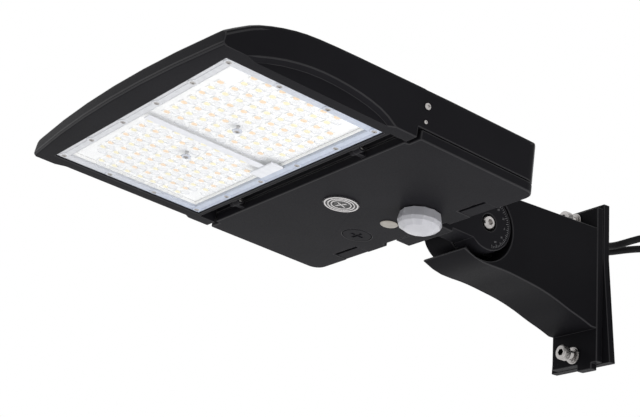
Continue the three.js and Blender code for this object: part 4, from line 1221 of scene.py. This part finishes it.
# Hub: its degree scale, the serrated ring in the knuckle's split, and the ledge in the air slot
HUB_FACE = 34 * MM
TICK_OUT = 23.6 * MM
TICK_LONG = 3.2 * MM
TICK_SHORT = 1.8 * MM
TICK_WIDTH = 0.45 * MM
TICK_PROUD = 0.22 * MM
TICK_ROOT = 0.1 * MM
TICK_EDGE = 0.08 * MM
TICK_FROM, TICK_TO, TICK_STEP, LONG_TICK_STEP = -75, 90, 5, 15
NUMBER_FROM, NUMBER_TO, NUMBER_STEP = -60, 90, 30
NUMBER_SIZE = 2.6 * MM
NUMBER_RADIUS = 18.2 * MM
NUMBER_MERGE = 0.01 * MM
SERRATIONS = 60
RING_TIP = 25.2 * MM
RING_ROOT = 23.8 * MM
RING_BORE = 20.4 * MM
RING_FROM = 6.6 * MM
RING_THICKNESS = 1.1 * MM
RING_CUT = 12 * MM
LEDGE_FRONT = 164.1 * MM
LEDGE_BACK = LEDGE_FRONT + 2.6 * MM
LEDGE_HALF = 80 * MM
LEDGE_LOW = 14 * MM
LEDGE_HIGH = 17.5 * MM
LEDGE_BOSS = mm((1.3, 9), (3.1, 9), (3.4, 9.5), (3.4, 15), (1.3, 15), (1.3, 9))
LEDGE_BOSS_PLACES = (-62, -28, 28, 62)


def on_hub(angle, radius):
    """A point on the hub's face: angle from +Y upwards."""
    y, z = radius * math.cos(angle), radius * math.sin(angle)
    return Vector((HUB_FACE, HUB_IN_HEAD.y + y, HUB_IN_HEAD.z + z))


def make_hub_scale():
    ticks = []
    for degrees in range(TICK_FROM, TICK_TO + 1, TICK_STEP):
        length = TICK_SHORT if degrees % LONG_TICK_STEP else TICK_LONG
        tick = block((-TICK_ROOT, -length, -TICK_WIDTH / 2), (TICK_PROUD, 0, TICK_WIDTH / 2))
        round_edges(tick, TICK_EDGE, 1)
        angle = math.radians(degrees)
        put(tick, Matrix.Translation(on_hub(angle, TICK_OUT)) @ Matrix.Rotation(angle, 4, "X"))
        ticks.append(tick)
    set_down(join(*ticks), "hub_degree_ticks", HEAD, "head", MARK, smooth=0)


def make_hub_numbers():
    upright = Matrix.Rotation(math.radians(90), 4, "Z") @ Matrix.Rotation(math.radians(90), 4, "X")
    numbers = []
    for degrees in range(NUMBER_FROM, NUMBER_TO + 1, NUMBER_STEP):
        bpy.ops.object.select_all(action="DESELECT")
        bpy.ops.object.text_add(location=(0, 0, 0))
        text = bpy.context.object
        text.data.body = str(abs(degrees))
        text.data.size = NUMBER_SIZE
        text.data.extrude = TICK_PROUD / 2
        text.data.align_x = "CENTER"
        text.data.align_y = "CENTER"
        pick_up(text)
        bpy.ops.object.convert(target="MESH")
        number = bpy.context.object
        heal(number, NUMBER_MERGE)
        put(number, Matrix.Translation(on_hub(math.radians(degrees), NUMBER_RADIUS)) @ upright)
        numbers.append(number)
    set_down(join(*numbers), "hub_degree_numbers", HEAD, "head", MARK, smooth=0)


def make_serrated_ring():
    middle = Vector((RING_FROM, HUB_IN_HEAD.y, HUB_IN_HEAD.z))
    outline = [middle + Vector((0, y, z)) for y, z in toothed(SERRATIONS, RING_TIP, RING_ROOT)]
    ring = prism(outline, Vector((RING_THICKNESS, 0, 0)))
    cut_out(ring, turned(rod(RING_BORE, 0, RING_CUT), "x", HUB_IN_HEAD, 48))
    # The ring's darker black is painted shade in the knuckle's split
    set_down(ring, "knuckle_serrated_ring", HEAD, "head", MATT_SHADED_BLACK, smooth=0)


def make_slot_ledge():
    """A ledge with screw bosses low on the air slot's front wall, between the hinges."""
    ledge = block((-LEDGE_HALF, LEDGE_FRONT, LEDGE_LOW), (LEDGE_HALF, LEDGE_BACK, LEDGE_HIGH))
    round_edges(ledge, 0.6 * MM, 2)
    bosses = [turned(LEDGE_BOSS, "z", (x * MM, LEDGE_BACK, 0), 20) for x in LEDGE_BOSS_PLACES]
    set_down(join(ledge, *bosses), "air_slot_ledge", HEAD, "head", COAT)


make_hub_scale()
make_hub_numbers()
make_serrated_ring()
make_slot_ledge()


# Sensor, light window and selector on the cover
SENSOR_LOW, SENSOR_HIGH = drawn_box("sensor_body", HEAD)
DOME_LOW, DOME_HIGH = drawn_box("sensor_dome", HEAD)
SENSOR_SPOT = plan_middle(DOME_LOW, DOME_HIGH)
SENSOR_RADIUS = (DOME_HIGH.x - DOME_LOW.x) / 2
DOME_FACETS = 12
DOME_TOP = -0.4 * MM
# The dome's corners, as shares of its radius and its depth, and the share of the depth that its end keeps
DOME_SHARES = [(0.92, 0), (1.0, 0.46), (0.93, 0.66), (0.66, 0.84)]
DOME_DEPTH_SHARE = 0.89
DOME_WALL = 1.5 * MM
DOME_EDGE = 0.45 * MM
DOME_EDGE_ANGLE = 14
DOME_SMOOTH = 12
COLLAR_SHARE = 0.83
DETECTOR = mm((0, -10.5), (3.6, -10.5), (4.2, -10), (4.2, -3.6), (14, -3.5), (14, -2.75), (0, -2.75))
SENSOR_NECK = 13 * MM
NECK_THREAD_FROM = 3.2 * MM
NECK_THREAD_PITCH = 1.5 * MM
NECK_THREAD_DEPTH = 0.5 * MM
# How far the pieces on the cover stand off its face
SEAT_GAP = 0.3 * MM
WINDOW_NECK = 6 * MM


def make_sensor_dome():
    height = DOME_TOP - DOME_LOW.z
    end = DOME_TOP - height * DOME_DEPTH_SHARE
    outer = [(SENSOR_RADIUS * out, DOME_TOP - height * down) for out, down in DOME_SHARES]
    inner = [(r - DOME_WALL, z + DOME_WALL) for r, z in reversed(outer[1:])]
    mouth = (outer[0][0] - DOME_WALL, DOME_TOP)
    profile = [*outer, (0, end), (0, end + DOME_WALL), *inner, mouth, outer[0]]
    dome = turned(profile, "z", SENSOR_SPOT, DOME_FACETS)
    round_edges(dome, DOME_EDGE, 2, DOME_EDGE_ANGLE)
    set_down(dome, "sensor_faceted_dome", HEAD, "cover", MILKY, ["sensor_dome"], DOME_SMOOTH)


def make_sensor_eye():
    """The detector can and its board, seen as a warm shade through the dome's end."""
    eye = turned(DETECTOR, "z", SENSOR_SPOT, 28)
    set_down(eye, "sensor_detector", HEAD, "cover", BEIGE, ["sensor_body"])


def make_sensor_body():
    neck, low, top = SENSOR_NECK, SENSOR_LOW.z, SENSOR_HIGH.z
    r = SENSOR_RADIUS * COLLAR_SHARE
    profile = [
        (0, low), (r - 1.2 * MM, low), (r - 0.3 * MM, low + 0.3 * MM), (r, low + 0.9 * MM), (r, -0.5 * MM),
        (r - 0.3 * MM, -SEAT_GAP), (neck, -SEAT_GAP),
    ]
    rise = NECK_THREAD_FROM
    while rise < top - NECK_THREAD_PITCH:
        profile += [(neck, rise), (neck - NECK_THREAD_DEPTH, rise + NECK_THREAD_PITCH / 2)]
        rise += NECK_THREAD_PITCH
    profile += [(neck - 0.4 * MM, top - 0.6 * MM), (neck - 1.2 * MM, top), (0, top)]
    body = turned(profile, "z", SENSOR_SPOT, 48)
    set_down(body, "sensor_collar_and_neck", HEAD, "cover", COLLAR, ["sensor_body"])


def make_window():
    low, high = drawn_box("light_sensor_window", HEAD)
    r, neck = (high.x - low.x) / 2, WINDOW_NECK
    window = turned(
        [(0, low.z + 0.05 * MM), (0.75 * r, low.z), (0.93 * r, low.z + 0.12 * MM), (r, low.z + 0.5 * MM),
         (r, -SEAT_GAP), (neck, -SEAT_GAP), (neck, high.z - 0.6 * MM), (neck - 0.6 * MM, high.z),
         (0, high.z)],
        "z", plan_middle(low, high), 40,
    )
    set_down(window, "light_window", HEAD, "cover", BEIGE, ["light_sensor_window"])


SWITCH_SPOT = plan_middle(*drawn_box("selector_switch", HEAD))
SWITCH_TICKS = 8
SWITCH_TICK = mm((-0.3, 9.3, -0.02), (0.3, 11, 0.12))
DIAL_RADIUS = 8.6 * MM
DIAL_RIM = MM
DIAL_CROSS = 5 * MM
DIAL_CROSS_WIDTH = 0.8 * MM
DIAL_CROSS_DEPTH = 1.1 * MM
POINTER_FROM = 3.6 * MM
POINTER_TO = 6.9 * MM
POINTER_HALF = 0.7 * MM
POINTER_ROOT = 0.6 * MM
CAP_RADIUS = 16 * MM
CAP_FACE = -1.7 * MM
CAP_PLATE = CAP_FACE + 0.3 * MM
CAP_BACK = CAP_FACE + 1.1 * MM
CAP_SIDES = 48
# Outer radius and width of each ring on the cap
CAP_RINGS = mm((15.2, 1.5), (12.2, 1.3), (9.3, 1.2))
CAP_RING_ROOT = 0.1 * MM
CAP_RING_RISE = 0.28 * MM
CAP_BAR_TURNS = (20, 110)
CAP_BAR_REACH = 5.6 * MM
CAP_BAR_HALF = 0.55 * MM


def make_selector_ticks():
    ticks = []
    for i in range(SWITCH_TICKS):
        tick = block(*SWITCH_TICK)
        round_edges(tick, 0.1 * MM, 1)
        ticks.append(put_turned(tick, SWITCH_SPOT, i * 360 / SWITCH_TICKS))
    ring = join(*ticks)
    set_down(ring, "selector_ticks", HEAD, "cover", SILVER, ["selector_switch"], smooth=0)


def make_dial():
    low, high = drawn_box("selector_dial", HEAD)
    r, face = DIAL_RADIUS, low.z + DIAL_RIM
    dial = turned(
        [(0, face), (r - 2.6 * MM, face), (r - 2.2 * MM, face + 0.5 * MM), (r - 1.4 * MM, face + 0.5 * MM),
         (r - MM, face), (r - 0.4 * MM, face), (r, face + 0.4 * MM), (r, high.z - 0.3 * MM),
         (r - 0.3 * MM, high.z), (0, high.z)],
        "z", SWITCH_SPOT, 40,
    )
    for tool in cross_tool(DIAL_CROSS, DIAL_CROSS_WIDTH, face, DIAL_CROSS_DEPTH):
        cut_out(dial, put_turned(tool, SWITCH_SPOT, 0))
    pointer = block(
        (POINTER_FROM, -POINTER_HALF, low.z), (POINTER_TO, POINTER_HALF, face + POINTER_ROOT),
    )
    round_edges(pointer, 0.25 * MM, 2)
    put_turned(pointer, SWITCH_SPOT, 0)
    set_down(join(dial, pointer), "selector_knob", HEAD, "dial", SILVER, ["selector_dial"])


def make_cap():
    """A clear turning cap, with three raised silver rings and a cross between them."""
    r = CAP_RADIUS
    cap = turned(
        [(0, CAP_PLATE), (r - 1.5 * MM, CAP_PLATE), (r - 0.5 * MM, CAP_FACE + 0.6 * MM), (r, CAP_FACE + MM),
         (r, -SEAT_GAP), (r - 1.2 * MM, -SEAT_GAP), (r - 1.6 * MM, CAP_BACK), (0, CAP_BACK)],
        "z", SWITCH_SPOT, CAP_SIDES,
    )
    set_down(cap, "selector_clear_cap", HEAD, "cap", SMOKE, ["selector_cap"])
    root, crest = CAP_PLATE + CAP_RING_ROOT, CAP_PLATE - CAP_RING_RISE
    rings = []
    for outer, width in CAP_RINGS:
        rings.append(turned(
            [(outer - width, root), (outer - 0.8 * width, crest), (outer - 0.2 * width, crest),
             (outer, root), (outer - width, root)],
            "z", SWITCH_SPOT, CAP_SIDES,
        ))
    for turn in CAP_BAR_TURNS:
        bar = block(
            (-CAP_BAR_REACH, -CAP_BAR_HALF, CAP_FACE + 0.05 * MM), (CAP_BAR_REACH, CAP_BAR_HALF, root),
        )
        round_edges(bar, 0.2 * MM, 2)
        rings.append(put_turned(bar, SWITCH_SPOT, turn))
    set_down(join(*rings), "selector_cap_rings", HEAD, "cap", SILVER, ["selector_cap"])


# Pieces taken over from their CAD nodes: node, name, body, finish, slot and the width of the rounded edges
SOFT_PIECES = (
    ("sensor_locknut", "sensor_nut", "cover", MOULDED, "black_plastic", 0.7 * MM),
    ("selector_switch", "selector_body", "cover", MOULDED, "black_plastic", 0.3 * MM),
    ("blanking_plug", "threaded_blanking_plug", "cover", COAT, "black_plastic", 0.3 * MM),
    ("cover_catch_left", "sliding_catch_left", "catch_left", COAT, "black_plastic", 0.4 * MM),
    ("cover_catch_right", "sliding_catch_right", "catch_right", COAT, "black_plastic", 0.4 * MM),
    ("lens_gasket", "lens_seal", "head", SEAL, "seal", 0.25 * MM),
    ("cover_seal", "cover_gasket", "cover", SEAL, "seal", 0.25 * MM),
)


def make_soft_pieces():
    for node, name, body, material, slot, edge in SOFT_PIECES:
        piece = casting_copy(node, HEAD)
        soften(piece, edge)
        set_down(piece, name, HEAD, body, material, [node])


make_sensor_dome()
make_sensor_body()
make_sensor_eye()
make_window()
make_selector_ticks()
make_dial()
make_cap()
make_soft_pieces()


# Driver, surge protector and terminal block in the driver box
DRIVER_END = 6 * MM
EAR_LENGTH = 8 * MM
EAR_INSET = 12 * MM
EAR_FROM_TOP = 1.6 * MM
EAR_TOP_GAP = 0.1 * MM
EAR_HOLE = 1.9 * MM
EAR_HOLE_SHIFT = 1.5 * MM
TERMINALS = 3
TERMINAL_WELL = 3 * MM
TERMINAL_SCREW = 2.4 * MM
TERMINAL_SCREW_HEIGHT = 1.2 * MM
TERMINAL_SCREW_SUNK = 2.6 * MM


def make_driver():
    low, high = drawn_box("led_driver", HEAD)
    end = Vector((DRIVER_END, 0, 0))
    case = block(low + end, high - end)
    inset_faces(case, looks_down, (4 * MM, 0), (0.8 * MM, -0.6 * MM))
    inset_faces(case, lambda face: abs(face.normal.x) > FACING, (1.2 * MM, -0.8 * MM), use_individual=True)
    round_edges(case, 1.2 * MM, 3)
    ears = []
    for x, way in ((low.x, -1), (high.x - EAR_LENGTH, 1)):
        ear = block(
            (x, low.y + EAR_INSET, high.z - EAR_FROM_TOP),
            (x + EAR_LENGTH, high.y - EAR_INSET, high.z - EAR_TOP_GAP),
        )
        for y in (low.y + 2 * EAR_INSET, high.y - 2 * EAR_INSET):
            hole = (x + EAR_LENGTH / 2 + way * EAR_HOLE_SHIFT, y, high.z)
            cut_out(ear, turned(rod(EAR_HOLE, -4 * MM, 3 * MM), "z", hole, 20))
        round_edges(ear, 0.3 * MM, 1)
        ears.append(ear)
    set_down(join(case, *ears), "led_driver_case", HEAD, "head", ZINC, ["led_driver"])


def make_surge_protector():
    case = block(*drawn_box("surge_protector", HEAD))
    inset_faces(case, looks_down, (2.5 * MM, 0), (0.6 * MM, 0.5 * MM))
    round_edges(case, 1.4 * MM, 3)
    set_down(case, "surge_protector_case", HEAD, "head", MOULDED, ["surge_protector"])


def make_terminal_block():
    low, high = drawn_box("terminal_block", HEAD)
    case = block(low, high)
    round_edges(case, 0.8 * MM, 2)
    pitch, y = (high.x - low.x) / TERMINALS, (low.y + high.y) / 2
    screws = []
    for i in range(TERMINALS):
        x = low.x + pitch * (i + 0.5)
        cut_out(case, turned(rod(TERMINAL_WELL, low.z - MM, low.z + TERMINAL_WELL), "z", (x, y, 0), 24))
        screw = pan_screw(TERMINAL_SCREW, TERMINAL_SCREW_HEIGHT, TERMINAL_SCREW_HEIGHT, TERMINAL_WELL)
        screws.append(put_turned(screw, (x, y, low.z + TERMINAL_SCREW_SUNK), 0))
    set_down(case, "terminal_block_case", HEAD, "head", MILKY, ["terminal_block"])
    set_down(join(*screws), "terminal_screws", HEAD, "head", STEEL, ["terminal_block"])


WIRE_RADIUS = 1.1 * MM
WIRE_STEPS = 6
WIRE_SIDES = 3
# Each wire's finish and its way through the driver box
WIRES = {
    "live_wire": (BROWN, mm(
        (-29, 205, 34), (-20, 206, 35), (-4, 212, 39), (30, 226, 41), (80, 238, 41), (104, 240, 38),
        (112, 240, 37),
    )),
    "neutral_wire": (BLUE, mm(
        (-29, 211, 34), (-20, 212, 35), (0, 220, 39), (36, 232, 41), (84, 242, 41), (104, 243, 38),
        (112, 243, 37),
    )),
    "surge_wire": (GREEN, mm(
        (95, 200, 34), (86, 202, 35), (74, 212, 39), (76, 230, 41), (90, 246, 41), (104, 246, 38),
        (112, 246, 37),
    )),
    "board_wire_red": (RED, mm(
        (-29, 262, 33), (-18, 262, 34), (4, 252, 40), (30, 230, 42), (48, 200, 42), (50, 186, 41),
    )),
    "board_wire_white": (WHITE_WIRE, mm(
        (-29, 268, 33), (-16, 268, 34), (8, 256, 40), (34, 234, 42), (52, 204, 42), (54, 186, 41),
    )),
}


def wire_mesh(name, points, radius):
    """A round wire through its points, made a mesh."""
    wire = tube_curve(name, points, radius, WIRE_STEPS, WIRE_SIDES)
    pick_up(wire)
    bpy.ops.object.convert(target="MESH")
    heal(bpy.context.object)
    return bpy.context.object


def make_wires():
    for name, (material, points) in WIRES.items():
        wire = wire_mesh(name, points, WIRE_RADIUS)
        set_down(wire, name, HEAD, "head", material)


make_driver()
make_surge_protector()
make_terminal_block()
make_wires()


# What holds the cords, and their bare ends
RELIEF_RIBS = 4
RELIEF_TIP = 4.4 * MM
RELIEF_STRAIGHT = 3 * MM
TIE_EDGE = 0.4 * MM
LOCK_HALF_WIDTH = 3.6 * MM
LOCK_HALF_DEPTH = 3 * MM
LOCK_DROP = 2.6 * MM
LOCK_RISE = 0.4 * MM
CORE_LENGTH = 20 * MM
CORE_STRIP = 6 * MM
CORE_RADIUS = 1.15 * MM
CORE_RING = 1.5 * MM
CORE_ROOT = 2 * MM
CORE_SPREAD = 2.4 * MM
COPPER_SHARE = 0.7


def make_relief(cord_name):
    """A bushing that grips the cord in the back plate, with ribs down its tapered outer end."""
    node = f"{cord_name}_relief"
    low, high = drawn_box(node, WALL)
    spot = ((low.x + high.x) / 2, 0, (low.z + high.z) / 2)
    root, tip, bore = (high.x - low.x) / 2, RELIEF_TIP, CORD_DIAMETER / 2
    profile = [
        (bore, low.y), (root - 0.6 * MM, low.y), (root, low.y + 0.6 * MM), (root, 0),
        (root, RELIEF_STRAIGHT),
    ]
    pitch = (high.y - RELIEF_STRAIGHT) / RELIEF_RIBS
    for i in range(RELIEF_RIBS):
        at = RELIEF_STRAIGHT + pitch * i
        out = root + (tip - root) * i / RELIEF_RIBS
        profile += [(out - 1.1 * MM, at + 0.25 * pitch), (out - 1.1 * MM, at + 0.5 * pitch)]
        profile.append((out - 0.5 * MM, at + 0.62 * pitch))
        if i < RELIEF_RIBS - 1:
            profile.append((out - 0.4 * MM, at + 0.95 * pitch))
    profile += [(tip, high.y - 0.4 * MM), (bore + 0.4 * MM, high.y), (bore, high.y - 0.3 * MM)]
    profile.append((bore, low.y))
    relief = turned(profile, "y", spot, 32)
    return set_down(relief, f"{cord_name}_ribbed_bushing", WALL, "arm", SEAL, [node])


def make_tie(cord_name):
    node = f"{cord_name}_tie"
    tie = casting_copy(node, WALL)
    soften(tie, TIE_EDGE)
    low, high = drawn_box(node, WALL)
    x, y, _ = (low + high) / 2
    lock = block(
        (x - LOCK_HALF_WIDTH, y - LOCK_HALF_DEPTH, low.z - LOCK_DROP),
        (x + LOCK_HALF_WIDTH, y + LOCK_HALF_DEPTH, low.z + LOCK_RISE),
    )
    inset_faces(lock, lambda face: face.normal.y < -FACING, (MM, -MM))
    round_edges(lock, 0.5 * MM, 2)
    return set_down(join(tie, lock), f"{cord_name}_cable_tie", WALL, "arm", MOULDED, [node])


def make_bare_end(cord_name, points):
    """Three cores that stand out of the jacket's cut end, each with its copper bared."""
    end = points[-1]
    heading = (points[-1] - points[-2]).normalized()
    across = heading.cross(Vector((0, 1, 0))).normalized()
    over = heading.cross(across)
    # How far along and how far out each core's points lie
    steps = (
        (-CORE_ROOT, CORE_RING), (CORE_ROOT, CORE_RING), (0.5 * CORE_LENGTH, CORE_RING + CORE_SPREAD / 2),
        (CORE_LENGTH, CORE_RING + CORE_SPREAD),
    )
    pieces = []
    for i, material in enumerate((BROWN, BLUE, GREEN)):
        angle = 2 * math.pi * i / 3
        way = across * math.cos(angle) + over * math.sin(angle)
        row = [end + heading * along + way * out for along, out in steps]
        core = wire_mesh(f"{cord_name}_core_{i + 1}", row, CORE_RADIUS)
        tail = row[-1] + (row[-1] - row[-2]).normalized() * CORE_STRIP
        bared = [row[-1] - heading * MM, row[-1], tail]
        strands = wire_mesh(f"{core.name}_copper", bared, COPPER_SHARE * CORE_RADIUS)
        for piece, layer in ((core, material), (strands, COPPER)):
            set_down(piece, piece.name, WALL, "arm", layer)
            pieces.append(piece)
    return pieces


for cord_name, (cord, cord_points) in cords.items():
    cord.data.materials.append(JACKET)
    relief = make_relief(cord_name)
    tie = make_tie(cord_name)
    bare_cores = make_bare_end(cord_name, cord_points)


# Studio: a pale floor under the light, a white surround, and four wide soft lamps that no reflection shows
FLOOR_DROP = -1.3
FLOOR_SIZE = 30
FLOOR_COLOUR = (0.9, 0.9, 0.9, 1)
FLOOR_ROUGHNESS = 0.8
SURROUND_LEVEL = 0.22
# Each lamp's place, what it faces, its width and its power
LAMPS = {
    "low_softbox": ((0.5, 0.2, -0.9), (0.05, -0.3, 0.0), 1.1, 10.0),
    "front_softbox": ((0.5, -1.5, -0.5), (0.0, -0.4, 0.0), 1.0, 5.0),
    "top_softbox": ((0.3, -0.5, 1.5), (0.0, -0.35, 0.0), 1.4, 5.0),
    "side_softbox": ((1.4, -1.3, 0.4), (0.1, -0.4, 0.0), 0.9, 3.0),
}


def white_seen(tree, soft, white, by_camera=True):
    """White in reflections and through glass, and to the camera if asked, and as it is lit elsewhere."""
    path = tree.nodes.new("ShaderNodeLightPath")
    first = tree.nodes.new("ShaderNodeMath")
    first.operation = "MAXIMUM"
    if by_camera:
        tree.links.new(path.outputs["Is Camera Ray"], first.inputs[0])
    tree.links.new(path.outputs["Is Transmission Ray"], first.inputs[1])
    second = tree.nodes.new("ShaderNodeMath")
    second.operation = "MAXIMUM"
    tree.links.new(first.outputs[0], second.inputs[0])
    tree.links.new(path.outputs["Is Glossy Ray"], second.inputs[1])
    mix = tree.nodes.new("ShaderNodeMixShader")
    tree.links.new(second.outputs[0], mix.inputs["Fac"])
    tree.links.new(soft.outputs[0], mix.inputs[1])
    tree.links.new(white.outputs[0], mix.inputs[2])
    return mix


def make_world():
    world = bpy.data.worlds.new("studio")
    bpy.context.scene.world = world
    world.use_nodes = True
    tree = world.node_tree
    tree.nodes.clear()
    levels = []
    for strength in (SURROUND_LEVEL, 1):
        shade_node = tree.nodes.new("ShaderNodeBackground")
        shade_node.inputs["Color"].default_value = (1, 1, 1, 1)
        shade_node.inputs["Strength"].default_value = strength
        levels.append(shade_node)
    mix = white_seen(tree, *levels)
    out = tree.nodes.new("ShaderNodeOutputWorld")
    tree.links.new(mix.outputs[0], out.inputs[0])


def make_floor():
    bpy.ops.object.select_all(action="DESELECT")
    bpy.ops.mesh.primitive_plane_add(size=FLOOR_SIZE, location=(0, 0, FLOOR_DROP))
    floor = bpy.context.object
    floor.name = "studio_floor"
    material = bpy.data.materials.new("studio_floor")
    material.use_nodes = True
    tree = material.node_tree
    shader = tree.nodes["Principled BSDF"]
    shader.inputs["Base Color"].default_value = FLOOR_COLOUR
    shader.inputs["Roughness"].default_value = FLOOR_ROUGHNESS
    white = tree.nodes.new("ShaderNodeEmission")
    mix = white_seen(tree, shader, white, False)
    tree.links.new(mix.outputs[0], tree.nodes["Material Output"].inputs["Surface"])
    floor.data.materials.append(material)


def make_lamps():
    for name, (place, target, size, power) in LAMPS.items():
        data = bpy.data.lights.new(name, "AREA")
        data.shape = "SQUARE"
        data.size = size
        data.energy = power
        lamp = bpy.data.objects.new(name, data)
        bpy.context.scene.collection.objects.link(lamp)
        lamp.location = place
        lamp.rotation_mode = "QUATERNION"
        lamp.rotation_quaternion = (Vector(target) - Vector(place)).to_track_quat("-Z", "Y")
        lamp.visible_camera = False
        lamp.visible_glossy = False


make_world()
make_floor()
make_lamps()
bpy.context.scene.view_settings.view_transform = "Standard"
